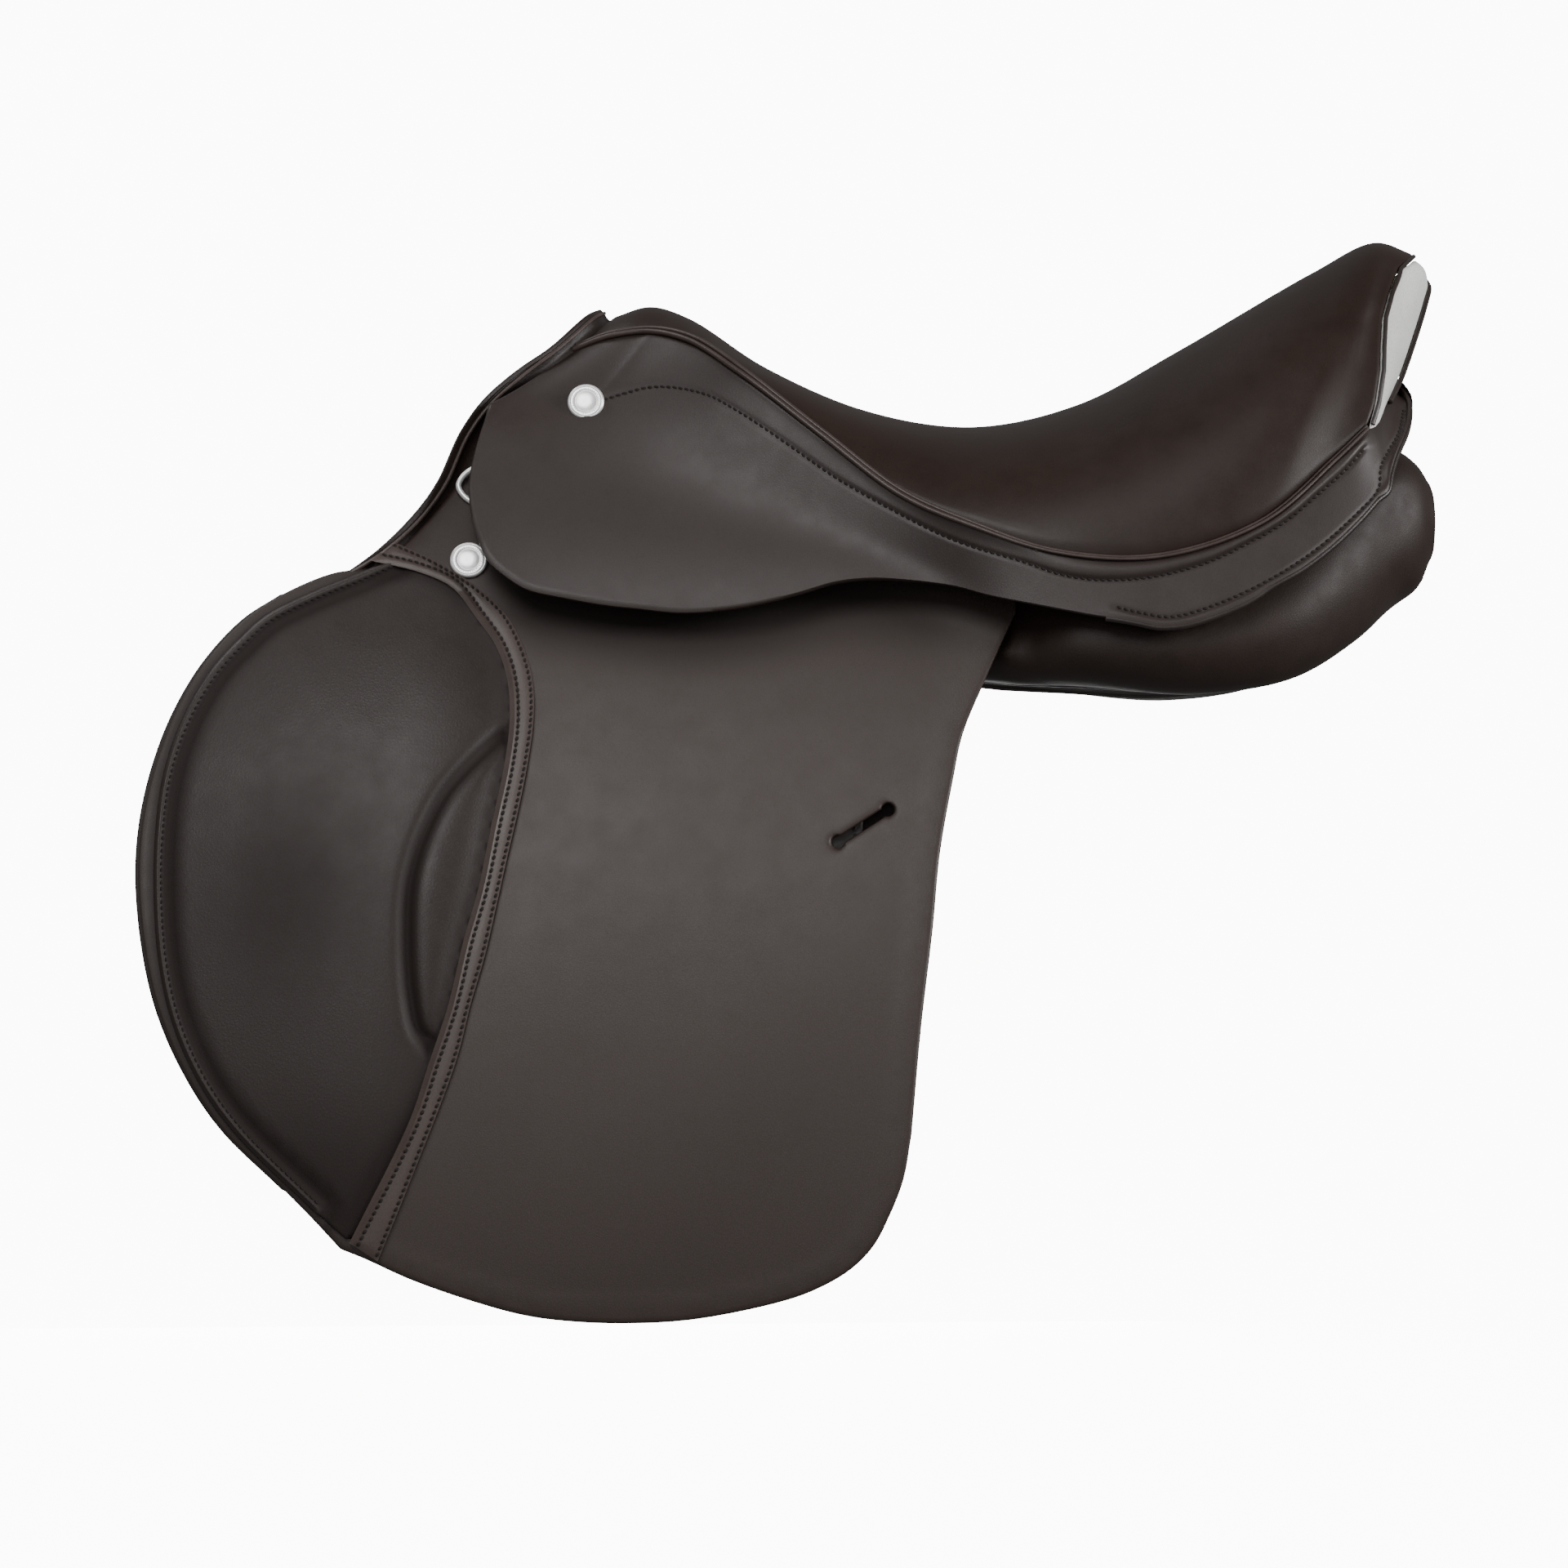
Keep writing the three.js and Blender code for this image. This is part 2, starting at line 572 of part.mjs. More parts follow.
// The seat's welt line and the skirt band's lower edge, as [x, half-width, z].
const WELT = [
  [-199, 31, 168], [-181, 39, 174], [-160, 46, 176], [-138, 64, 170], [-111, 88, 151],
  [-71, 105, 119], [-30, 121, 87], [5, 134, 71], [48, 142, 57], [99, 140, 55], [152, 128, 73],
  [190, 111, 105], [208, 104, 122],
];
const BAND_REAR_TOP = [[208, 104, 122], [214, 90, 129], [223, 70, 138], [230, 45, 150], [232, 14, 152]];
const BAND_LOWER = [
  [-20, 126, 50], [14, 141, 35], [62, 149, 25], [110, 149, 19], [156, 139, 40], [188, 126, 61],
  [212, 112, 86],
];
const BAND_REAR_LOWER = [[212, 112, 86], [221, 98, 104], [231, 74, 123], [235, 45, 137], [235, 14, 142]];

const through = (points) =>
  new THREE.CatmullRomCurve3(
    points.map(([x, w, z]) => v3(lengthwise(x), w + TREE_WIDENING * Math.min(1, w / 30), heightwise(z))),
    false,
    "centripetal",
  );

// Rows of points from one curve to another, with a straight ruling.
function ruled(upper, lower, count, rows, bow = 0) {
  return Array.from({ length: rows + 1 }, (_, r) =>
    Array.from({ length: count + 1 }, (_, c) => {
      const a = upper(c / count);
      const b = lower(c / count);
      const t = r / rows;
      const p = a.clone().lerp(b, t);
      p.y += bow * Math.sin(Math.PI * t);
      return p;
    }),
  );
}

function gridNormal(grid, r, c) {
  const rows = grid.length - 1;
  const cols = grid[0].length - 1;
  const du = grid[r][Math.min(c + 1, cols)].clone().sub(grid[r][Math.max(c - 1, 0)]);
  const dv = grid[Math.min(r + 1, rows)][c].clone().sub(grid[Math.max(r - 1, 0)][c]);
  return du.cross(dv).normalize();
}

// The back of a sheet whose front is a grid of points and whose front faces outward.
function backed(grid, thickness, outward) {
  const middle = gridNormal(grid, Math.floor(grid.length / 2), Math.floor(grid[0].length / 2));
  const inward = middle.dot(outward) > 0 ? -thickness : thickness;
  return grid.map((row, r) =>
    row.map((p, c) => p.clone().addScaledVector(gridNormal(grid, r, c), inward)),
  );
}

const OUTBOARD = v3(0, 1, 0);
const FORWARD = v3(-1, 0, 0);
const REARWARD = v3(1, 0, 0);

// Where a face grid stands over a plan point, as a pose whose local Z is the outward normal.
function gridPose(grid, [x, z], offset) {
  for (let r = 0; r < grid.length - 1; r++)
    for (let c = 0; c < grid[0].length - 1; c++)
      for (const [a, b, d] of [
        [grid[r][c], grid[r + 1][c], grid[r + 1][c + 1]],
        [grid[r][c], grid[r + 1][c + 1], grid[r][c + 1]],
      ]) {
        const plan = new THREE.Triangle(v3(a.x, 0, a.z), v3(b.x, 0, b.z), v3(d.x, 0, d.z));
        const share = plan.getBarycoord(v3(x, 0, z), v3(0, 0, 0));
        if (!share || Math.min(share.x, share.y, share.z) < 0) continue;
        const normal = new THREE.Triangle(a, b, d).getNormal(v3(0, 0, 0));
        if (normal.y < 0) normal.negate();
        const point = v3(x, a.y * share.x + b.y * share.y + d.y * share.z, z);
        const turn = new THREE.Quaternion().setFromUnitVectors(v3(0, 0, 1), normal);
        point.addScaledVector(normal, offset);
        return new THREE.Matrix4().compose(point, turn, v3(1, 1, 1));
      }
  throw new Error("the point is not over the face");
}

const BAND_STEPS = 14;
const SEAM_GAP = 4.8; // the skirt's top edge starts this far below the welt line

function skirtBandFace() {
  const weltCurve = through(WELT);
  const dropped = (p) => v3(p.x, p.y + SEAM_GAP / 2, p.z - SEAM_GAP);
  const [[fx, fz], [rx, rz]] = SKIRT_FOLD;
  const foldPoint = (t) => {
    const x = fx + (rx - fx) * t;
    const z = fz + (rz - fz) * t + CUT_GAP / 2 + SKIRT_LEATHER * 0.6;
    return v3(x, skirtFace(z), z);
  };
  const lower = through(BAND_LOWER);
  const FRONT_SHARE = 0.46;
  const upperAt = (t) => dropped(weltCurve.getPoint(t));
  const lowerAt = (t) =>
    t < FRONT_SHARE
      ? foldPoint(t / FRONT_SHARE)
      : lower.getPoint((t - FRONT_SHARE) / (1 - FRONT_SHARE));
  const side = ruled(upperAt, lowerAt, BAND_STEPS + 6, 3);
  const rearTop = through(BAND_REAR_TOP);
  const rearLow = through(BAND_REAR_LOWER);
  const rear = ruled((t) => dropped(rearTop.getPoint(t)), (t) => rearLow.getPoint(t), 6, 3);
  return side.map((row, r) => [...row, ...rear[r].slice(1)]);
}

const BAND_FACE = skirtBandFace();

function skirtBand() {
  const solid = toSolid(closedSheet(BAND_FACE, backed(BAND_FACE, SKIRT_LEATHER, OUTBOARD)));
  return fromSolid(solid.subtract(shankHole(gridPose(BAND_FACE, NAIL_UPPER, 0))));
}

// ---- Seat ----
const SEAT_TOP = [
  [-179, 0, 187], [-160, 0, 192], [-139, 0, 185], [-97, 0, 157], [-47, 0, 136], [10, 0, 128],
  [65, 0, 140], [117, 0, 168], [189, 0, 210], [222, 0, 226], [242, 0, 220],
];
const SEAT_STEPS = 18;
const SEAT_ACROSS = 12;
const ROLL = THREE.MathUtils.degToRad(74);
const RIM_ROLL = THREE.MathUtils.degToRad(60);
const ROLLOVER_FROM = 0.85;

// A point of the seat's surface: t from pommel to cantle, s from -1 (near side) to 1 (off side).
function seatPoint(t, s, sink) {
  const top = through(SEAT_TOP).getPoint(t);
  const edge = through(WELT).getPoint(t);
  const roll = ROLL + (RIM_ROLL - ROLL) * Math.max(0, (t - ROLLOVER_FROM) / (1 - ROLLOVER_FROM));
  const a = Math.abs(s) * roll;
  const across = Math.sin(a) / Math.sin(roll);
  const drop = (1 - Math.cos(a)) / (1 - Math.cos(roll));
  const width = edge.y - sink;
  return v3(
    top.x + (edge.x - top.x) * drop,
    Math.sign(s) * width * across,
    top.z + (edge.z - top.z) * drop - sink,
  );
}

function seatGrid(sink) {
  return Array.from({ length: SEAT_STEPS + 1 }, (_, i) =>
    Array.from({ length: SEAT_ACROSS + 1 }, (_, j) =>
      seatPoint(i / SEAT_STEPS, (2 * j) / SEAT_ACROSS - 1, sink),
    ),
  );
}

function seatCover() {
  return closedSheet(seatGrid(0), seatGrid(COVER_LEATHER));
}

// The foam stops one step short of the pommel and of the cantle rim.
const FOAM_DEPTH = 16;
function seatFoam() {
  const skin = COVER_LEATHER + GAP;
  const trimmed = (grid) => grid.slice(1, -1);
  return closedSheet(trimmed(seatGrid(skin)), trimmed(seatGrid(skin + FOAM_DEPTH)));
}

// ---- Round pieces along a path ----
function circle(radius, sides) {
  const shape = new THREE.Shape();
  shape.setFromPoints(
    Array.from({ length: sides }, (_, i) => {
      const a = (2 * Math.PI * i) / sides;
      return new THREE.Vector2(radius * Math.cos(a), radius * Math.sin(a));
    }),
  );
  return shape;
}

function rod(curve, radius, sides, steps) {
  const g = new THREE.ExtrudeGeometry(circle(radius, sides), { steps, extrudePath: curve });
  return facingOut(mergeVertices(stripped(g), 1e-3));
}

function welt() {
  const out = WELT_RADIUS + 2 * GAP;
  const moved = WELT.map(([x, w, z]) => [x, w + out * 0.9, z - out * 0.3]);
  return rod(through(moved), WELT_RADIUS, 6, 34);
}

// ---- Pommel facing: the rolled front edge, from one flap over the head to the other ----
const FACING_OUTER = [
  [-187, 0, 189], [-194, 20, 184], [-214, 38, 168], [-238, 52, 150], [-257, 66, 124],
  [-269, 82, 96], [-284, 94, 76], [-298, 100, 62],
];
const FACING_INNER = [
  [-187, 0, 150], [-193, 16, 146], [-212, 30, 128], [-235, 42, 106], [-252, 54, 82], [-264, 66, 60],
  [-274, 77, 49], [-285, 84, 42],
];
const FACING_LEATHER = 3;

function mirroredCurve(points) {
  const half = through(points);
  return (t) => {
    const s = 2 * t - 1;
    const p = half.getPoint(Math.abs(s));
    return s < 0 ? v3(p.x, -p.y, p.z) : p;
  };
}

function pommelFacing() {
  const face = ruled(mirroredCurve(FACING_OUTER), mirroredCurve(FACING_INNER), 26, 3);
  face[1].concat(face[2]).forEach((p) => (p.x -= 3));
  return closedSheet(face, backed(face, FACING_LEATHER, FORWARD));
}

// ---- Cantle ----
const INLAY_OUTER = [
  [250, 0, 203], [247, 14, 193], [239, 32, 172], [231, 48, 153], [222, 72, 138], [213, 96, 124],
];
const INLAY_LEATHER = 2.5;
const INLAY_GAP = 2.9;

function cantleInlay() {
  const outer = mirroredCurve(INLAY_OUTER);
  const inner = (t) => {
    const s = (2 * t - 1) * 0.97;
    const p = seatPoint(1, s, 0);
    return p.add(v3(INLAY_GAP, 0, -INLAY_GAP));
  };
  const face = ruled(inner, outer, 22, 3);
  face[1].concat(face[2]).forEach((p) => (p.x += 1.5));
  return closedSheet(face, backed(face, INLAY_LEATHER, REARWARD));
}

const BACK_OUTER = [[251, 0, 199], [247, 13, 189], [239, 30, 169], [233, 42, 156]];
const BACK_LOWER = [[228, 0, 152], [228, 13, 152], [228, 28, 151], [227, 42, 150]];
function cantleBack() {
  const face = ruled(mirroredCurve(BACK_OUTER), mirroredCurve(BACK_LOWER), 14, 2);
  return closedSheet(face, backed(face, INLAY_LEATHER, REARWARD));
}

// ---- Tree ----
const ARCH_CLEARANCE = 2.5; // between the flap's back and the tree arch
const ARCH_DEPTH = 12;
const HEAD_BACK = -150;
const HEAD_THICKNESS = 22;
const PLATE_STEEL = 3;
const PLATE_DEPTH = ARCH_DEPTH - 4; // the plates are narrower than the wooden arch
const PLATE_INSET = 2;
const ARCH_HEIGHTS = [142, 120, 98, 66, 44];

function archOutline(depth, inset) {
  const wide = (z) => flapFace(z) - FLAP_LEATHER - ARCH_CLEARANCE - inset;
  const outer = ARCH_HEIGHTS.map((z) => [wide(z), z]);
  const inner = ARCH_HEIGHTS.map((z) => [wide(z) - depth, z - depth * 0.35]).reverse();
  const crown = [[18, ARCH_HEIGHTS[0] + 9 - inset], [0, ARCH_HEIGHTS[0] + 11 - inset]];
  const arch = [[0, ARCH_HEIGHTS[0] - depth + 8], [12, ARCH_HEIGHTS[0] - depth + 5]];
  const right = [...crown.slice().reverse(), ...outer, ...inner, ...arch.slice().reverse()];
  const left = right.slice(1, -1).map(([y, z]) => [-y, z]).reverse();
  return [...right, ...left];
}

function treeArch(depth, inset, back, thickness) {
  const shape = new THREE.Shape(archOutline(depth, inset).map(([y, z]) => new THREE.Vector2(y, z)));
  const g = new THREE.ExtrudeGeometry(shape, { depth: thickness, bevelEnabled: false });
  g.applyMatrix4(new THREE.Matrix4().makeBasis(v3(0, 1, 0), v3(0, 0, 1), v3(1, 0, 0)));
  g.translate(lengthwise(HEAD_BACK) - HEAD_THICKNESS + back, 0, 0);
  return facingOut(mergeVertices(stripped(g), 1e-3));
}

// A bar of rectangular section along a path: wide across, thick in height.
function flatBar(points, width, thickness, lift, steps) {
  const curve = through(points);
  return loft(
    Array.from({ length: steps + 1 }, (_, i) => {
      const p = curve.getPoint(i / steps);
      const t = curve.getTangent(i / steps);
      const side = v3(-t.y, t.x, 0).normalize().multiplyScalar(width / 2);
      const up = side.clone().cross(t).normalize();
      if (up.z < 0) up.negate();
      const top = p.clone().addScaledVector(up, lift + thickness / 2);
      const low = p.clone().addScaledVector(up, lift - thickness / 2);
      return [top.clone().add(side), top.clone().sub(side), low.clone().sub(side), low.clone().add(side)];
    }),
  );
}

const RAIL = [[-142, 40, 110], [-100, 46, 97], [-50, 53, 86], [0, 58, 82], [60, 62, 84], [120, 62, 94],
  [166, 56, 110]];
const RAIL_WIDTH = 20;
const RAIL_THICKNESS = 9;
const SPRING_STEEL = 2.5;
const SPRING_WIDTH = 13;
const SPRING_LIFT = -(RAIL_THICKNESS + SPRING_STEEL) / 2 - GAP; // under the rail
const CANTLE = [[171, 56, 112], [196, 50, 130], [211, 32, 150], [217, 0, 163]];
const CANTLE_WIDTH = 14;
const CANTLE_DEPTH = 18;
const CANTLE_STEPS = 14;
const CANTLE_SPREAD = 1.4; // how far the arch's ends face sideways rather than to the rear
const CANTLE_LEAN = 0.2; // the section leans back by this share of its height

function treeCantle() {
  const half = through(CANTLE);
  const section = (i) => {
    const s = (2 * i) / CANTLE_STEPS - 1;
    const end = Math.abs(s);
    const p = half.getPoint(1 - end);
    if (s < 0) p.y = -p.y;
    const across = v3(0.8 + 0.2 * end, 0, 0.6 - 0.6 * end).normalize();
    const reach = v3(Math.abs(p.y) > 1 ? 0 : 1, 0, 0);
    const outward = v3(1 - end, s * CANTLE_SPREAD, 0).add(reach).normalize();
    const up = v3(0, 0, 1).addScaledVector(across, CANTLE_LEAN).normalize();
    const a = outward.multiplyScalar(CANTLE_WIDTH / 2);
    const b = up.multiplyScalar(CANTLE_DEPTH / 2);
    return [
      p.clone().add(a).add(b),
      p.clone().sub(a).add(b),
      p.clone().sub(a).sub(b),
      p.clone().add(a).sub(b),
    ];
  };
  return loft(Array.from({ length: CANTLE_STEPS + 1 }, (_, i) => section(i)));
}

const WEB = [[-143, 0, 136], [-100, 0, 128], [-47, 0, 109], [10, 0, 102], [65, 0, 112], [117, 0, 132],
  [202, 0, 172]];
const WEB_WIDTH = 54;
const WEB_THICKNESS = 2;
const CROSS_WEB_AT = 30;
const CROSS_WEB_HEIGHT = 89.4; // on top of the rails
const CROSS_WEB_REACH = 64; // from the centre plane to an end
const CROSS_WEB_RISE = 2; // over the middle

function crossWeb() {
  const front = CROSS_WEB_AT - WEB_WIDTH / 2;
  const rear = CROSS_WEB_AT + WEB_WIDTH / 2;
  const rings = [-1, 0, 1].map((side) => {
    const y = side * CROSS_WEB_REACH;
    const low = CROSS_WEB_HEIGHT + (side === 0 ? CROSS_WEB_RISE : 0);
    const high = low + WEB_THICKNESS;
    return [v3(front, y, low), v3(rear, y, low), v3(rear, y, high), v3(front, y, high)];
  });
  return loft(rings);
}

// ---- Panel: the flocked pad on each side of the horse's spine ----
// Rings of [half-width, z] at stations along the saddle, clockwise from the top inner edge.
const PANEL_RINGS = [
  [-238, [[42, 92], [57, 74], [84, 34], [102, -6], [94, -18], [72, 8], [50, 46], [36, 80]]],
  [-205, [[34, 104], [54, 82], [97, 22], [134, -56], [122, -68], [86, -26], [54, 28], [28, 84]]],
  [-120, [[34, 90], [56, 72], [97, 20], [130, -50], [118, -60], [82, -20], [52, 24], [30, 70]]],
  [-60, [[38, 68], [64, 56], [101, 16], [120, -28], [110, -36], [78, -12], [52, 16], [34, 46]]],
  [0, [[38, 58], [66, 53], [96, 22], [108, 2], [102, -10], [80, -10], [54, 4], [34, 28]]],
  [32, [[38, 57], [74, 56], [105, 28], [120, 4], [112, -10], [84, -9], [54, 5], [34, 29]]],
  [60, [[38, 56], [80, 58], [122, 34], [136, 8], [124, -9], [88, -8], [54, 6], [34, 30]]],
  [120, [[38, 60], [80, 62], [122, 38], [136, 10], [122, -12], [86, -10], [54, 4], [34, 30]]],
  [170, [[38, 76], [74, 78], [110, 58], [124, 24], [112, -4], [82, 0], [54, 14], [34, 42]]],
  [205, [[34, 92], [62, 96], [92, 82], [102, 48], [92, 16], [72, 18], [50, 30], [32, 60]]],
  [228, [[32, 106], [48, 112], [68, 100], [78, 72], [70, 36], [56, 36], [42, 48], [30, 76]]],
  [240, [[36, 94], [44, 98], [54, 90], [58, 74], [54, 58], [46, 54], [40, 62], [34, 80]]],
];
const PANEL_SIDES = 12;

function panel() {
  return loft(
    PANEL_RINGS.map(([x, ring]) => {
      const closed = new THREE.CatmullRomCurve3(
        ring.map(([w, z]) => v3(lengthwise(x), w + TREE_WIDENING, heightwise(z))),
        true,
      );
      return closed.getSpacedPoints(PANEL_SIDES).slice(0, -1);
    }),
  );
}

// ---- Materials ----
const DARK = new THREE.Color(0.05, 0.036, 0.031);
const leather = (shade, roughness) =>
  new THREE.MeshStandardMaterial({ color: DARK.clone().multiplyScalar(shade), roughness });
const MATERIALS = {
  seat: leather(0.9, 0.38),
  flap: leather(1.6, 0.5),
  pad: leather(1.1, 0.6),
  strap: leather(1.3, 0.55),
  white: new THREE.MeshStandardMaterial({ color: 0xeeeeec, roughness: 0.45 }),
  wood: new THREE.MeshStandardMaterial({ color: 0xb98a55, roughness: 0.7 }),
  foam: new THREE.MeshStandardMaterial({ color: 0xd8d2c0, roughness: 0.95 }),
  web: new THREE.MeshStandardMaterial({ color: 0xc9c2ae, roughness: 0.9 }),
  steel: new THREE.MeshStandardMaterial({ color: 0xb8bbc0, roughness: 0.35, metalness: 1 }),
  bright: new THREE.MeshStandardMaterial({ color: 0xe6e6e6, roughness: 0.15, metalness: 1 }),
};

// ---- Assembly ----
const saddle = new THREE.Group();

function add(name, geometry, material) {
  const mesh = new THREE.Mesh(geometry, MATERIALS[material]);
  mesh.name = name;
  saddle.add(mesh);
}

function mirrored(geometry) {
  const g = geometry.clone();
  const p = g.attributes.position;
  for (let i = 0; i < p.count; i++) p.setY(i, -p.getY(i));
  return facingOut(g);
}

// Side pieces are drawn on the +Y side, so the off side keeps them and the near side mirrors them.
function addPair(name, geometry, material) {
  add(name + "_right", geometry, material);
  add(name + "_left", mirrored(geometry), material);
}

const flap = flapParts();
addPair("flap", flap.moving, "flap");
addPair("flap_top", flap.fixed, "flap");
addPair("knee_pad", kneePad(), "pad");
addPair("knee_strip", kneeStrip(), "flap");
addPair("knee_block", kneeBlock(), "foam");
addPair("sweat_flap", sweatFlap(), "flap");
["front", "middle", "rear"].forEach((name, i) => addPair("billet_" + name, billet(i), "strap"));
addPair("buckle_guard", buckleGuard(), "strap");
addPair("skirt", skirtLobe(), "flap");
addPair("skirt_band", skirtBand(), "flap");
addPair("nail_upper", placed(nail(), gridPose(BAND_FACE, NAIL_UPPER, GAP)), "bright");
addPair("nail_lower", placed(nail(), facePose(...NAIL_LOWER, flapFace, GAP)), "bright");
addPair("welt", welt(), "flap");
addPair("stirrup_bar", stirrupBar(), "steel");
addPair("bar_catch", barCatch(), "steel");
addPair("bar_rivet_front", rivetAt(RIVET_FRONT), "steel");
addPair("bar_rivet_rear", rivetAt(RIVET_REAR), "steel");
addPair("dee", dee(), "bright");
addPair("dee_chape", deeChape(), "strap");
addPair("panel", panel(), "flap");
addPair("tree_rail", flatBar(RAIL, RAIL_WIDTH, RAIL_THICKNESS, 0, 10), "wood");
addPair("spring_steel", flatBar(RAIL, SPRING_WIDTH, SPRING_STEEL, SPRING_LIFT, 10), "steel");
add("tree_head", treeArch(ARCH_DEPTH, 0, 0, HEAD_THICKNESS), "wood");
add("head_plate", treeArch(PLATE_DEPTH, PLATE_INSET, -GAP - PLATE_STEEL, PLATE_STEEL), "steel");
add("gullet_plate", treeArch(PLATE_DEPTH, PLATE_INSET, HEAD_THICKNESS + GAP, PLATE_STEEL), "steel");
add("tree_cantle", treeCantle(), "wood");
add("seat_web", flatBar(WEB, WEB_WIDTH, WEB_THICKNESS, 0, 12), "web");
add("cross_web", crossWeb(), "web");
add("seat_cover", seatCover(), "seat");
add("seat_foam", seatFoam(), "foam");
add("pommel_facing", pommelFacing(), "flap");
add("cantle_inlay", cantleInlay(), "white");
add("cantle_back", cantleBack(), "flap");

export default saddle;
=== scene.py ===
import math

import bmesh
import bpy
import numpy as np
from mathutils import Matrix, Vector, geometry
from mathutils.bvhtree import BVHTree
from mathutils.kdtree import KDTree


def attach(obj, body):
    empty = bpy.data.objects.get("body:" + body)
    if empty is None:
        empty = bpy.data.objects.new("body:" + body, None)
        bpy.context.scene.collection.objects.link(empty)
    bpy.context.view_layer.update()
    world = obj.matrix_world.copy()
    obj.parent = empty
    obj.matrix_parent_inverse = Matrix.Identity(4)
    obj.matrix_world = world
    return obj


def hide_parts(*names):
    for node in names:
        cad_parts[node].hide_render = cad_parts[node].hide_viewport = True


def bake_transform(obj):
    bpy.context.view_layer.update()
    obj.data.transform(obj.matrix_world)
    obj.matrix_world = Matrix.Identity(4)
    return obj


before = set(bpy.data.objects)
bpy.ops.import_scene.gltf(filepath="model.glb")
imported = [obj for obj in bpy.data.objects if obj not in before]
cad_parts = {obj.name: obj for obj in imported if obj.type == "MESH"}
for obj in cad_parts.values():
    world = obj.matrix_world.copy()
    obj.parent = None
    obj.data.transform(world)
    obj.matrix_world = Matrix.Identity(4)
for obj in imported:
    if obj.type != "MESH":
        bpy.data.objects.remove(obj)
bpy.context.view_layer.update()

# Lengths here are millimetres on the off side (+Y); pieces are turned to metres, and mirrored, when made.
MM = 0.001
SIDES = (("left", -1.0), ("right", 1.0))

FLAP_LEATHER = 4.5
SKIRT_LEATHER = 3.5
PLY = 1.0
GAP = 0.4
LINING_LEATHER = 3  # girth straps, buckle guards and sweat flaps


# ---------------------------------------------------------------- curves and faces
def vec(*c):
    return np.array(c, float)


def unit(v):
    return v / np.maximum(np.linalg.norm(v, axis=-1, keepdims=True), 1e-9)


def through(points):
    """A centripetal Catmull-Rom curve; the returned function takes t from 0 to 1."""
    p = np.array(points, float)
    q = np.vstack([2 * p[0] - p[1], p, 2 * p[-1] - p[-2]])

    def at(t):
        t = np.clip(np.asarray(t, float), 0, 1) * (len(p) - 1)
        i = np.minimum(t.astype(int), len(p) - 2)
        f = (t - i)[..., None]
        a, b, c, d = q[i], q[i + 1], q[i + 2], q[i + 3]
        d0, d1, d2 = (np.sqrt(np.linalg.norm(v, axis=-1, keepdims=True)) for v in (b - a, c - b, d - c))
        m1 = ((b - a) / d0 - (c - a) / (d0 + d1) + (c - b) / d1) * d1
        m2 = ((c - b) / d1 - (d - b) / (d1 + d2) + (d - c) / d2) * d1
        return ((2 * f**3 - 3 * f**2 + 1) * b + (f**3 - 2 * f**2 + f) * m1
                + (3 * f**2 - 2 * f**3) * c + (f**3 - f**2) * m2)

    return at


def even(points, step):
    """Points at an even spacing along a polyline."""
    p = np.asarray(points, float)
    d = np.r_[0, np.cumsum(np.linalg.norm(np.diff(p, axis=0), axis=1))]
    n = max(2, int(round(d[-1] / step)) + 1)
    s = np.linspace(0, d[-1], n)
    return np.stack([np.interp(s, d, p[:, k]) for k in range(p.shape[1])], 1)


def smooth(points, step=2.5):
    return even(through(points)(np.linspace(0, 1, 40 * len(points))), step)


def loop(*stretches):
    """A closed outline from stretches that end where the next one starts."""
    p = np.vstack(stretches)
    keep = np.linalg.norm(p - np.roll(p, 1, axis=0), axis=1) > 0.6
    return p[keep]


def blur(y, sigma):
    n = int(3 * sigma)
    k = np.exp(-0.5 * (np.arange(-n, n + 1) / sigma) ** 2)
    k /= k.sum()
    return np.convolve(np.pad(y, n, mode="reflect", reflect_type="odd"), k, mode="valid")


def relax(a, times):
    """Smooths an array in place along its first axis, and holds its ends."""
    for _ in range(times):
        a[1:-1] = 0.25 * a[:-2] + 0.5 * a[1:-1] + 0.25 * a[2:]


def left_of(line, closed=False):
    """Unit normals on the left of a plan line."""
    t = unit(np.roll(line, -1, axis=0) - np.roll(line, 1, axis=0) if closed else np.gradient(line, axis=0))
    return np.stack([-t[:, 1], t[:, 0]], 1)


ARC_RADIUS, ARC_TOP, ARC_LEVEL, ARC_WIDTH = 626, -20, -300, 140
ARC_CENTRE = ARC_WIDTH - math.sqrt(ARC_RADIUS**2 - (ARC_TOP - ARC_LEVEL) ** 2)
HEIGHTS = np.arange(-400, 260, 1.0)


def plain_face(z):
    arc = ARC_CENTRE + np.sqrt(ARC_RADIUS**2 - (np.clip(z, -400, ARC_TOP) - ARC_LEVEL) ** 2)
    upper = np.interp(z, [ARC_TOP, 50, 137, 200, 260], [ARC_WIDTH, 105, 48, 7, -32])
    return np.where(z < ARC_TOP, arc, upper)


BAR_PLATE, STIRRUP_LEATHER_ROOM, BAR_THICKNESS = 3, 7.4, 5.5
SKIRT_STANDOFF = BAR_PLATE + STIRRUP_LEATHER_ROOM + BAR_THICKNESS + 3 * PLY + GAP + SKIRT_LEATHER
FLAP_TABLE = blur(plain_face(HEIGHTS), 9)
SKIRT_TABLE = blur(plain_face(HEIGHTS) + SKIRT_STANDOFF - np.maximum(0, 50 - HEIGHTS) * 0.14, 9)


def flap_face(z):
    return np.interp(z, HEIGHTS, FLAP_TABLE)


def skirt_face(z):
    return np.interp(z, HEIGHTS, SKIRT_TABLE)


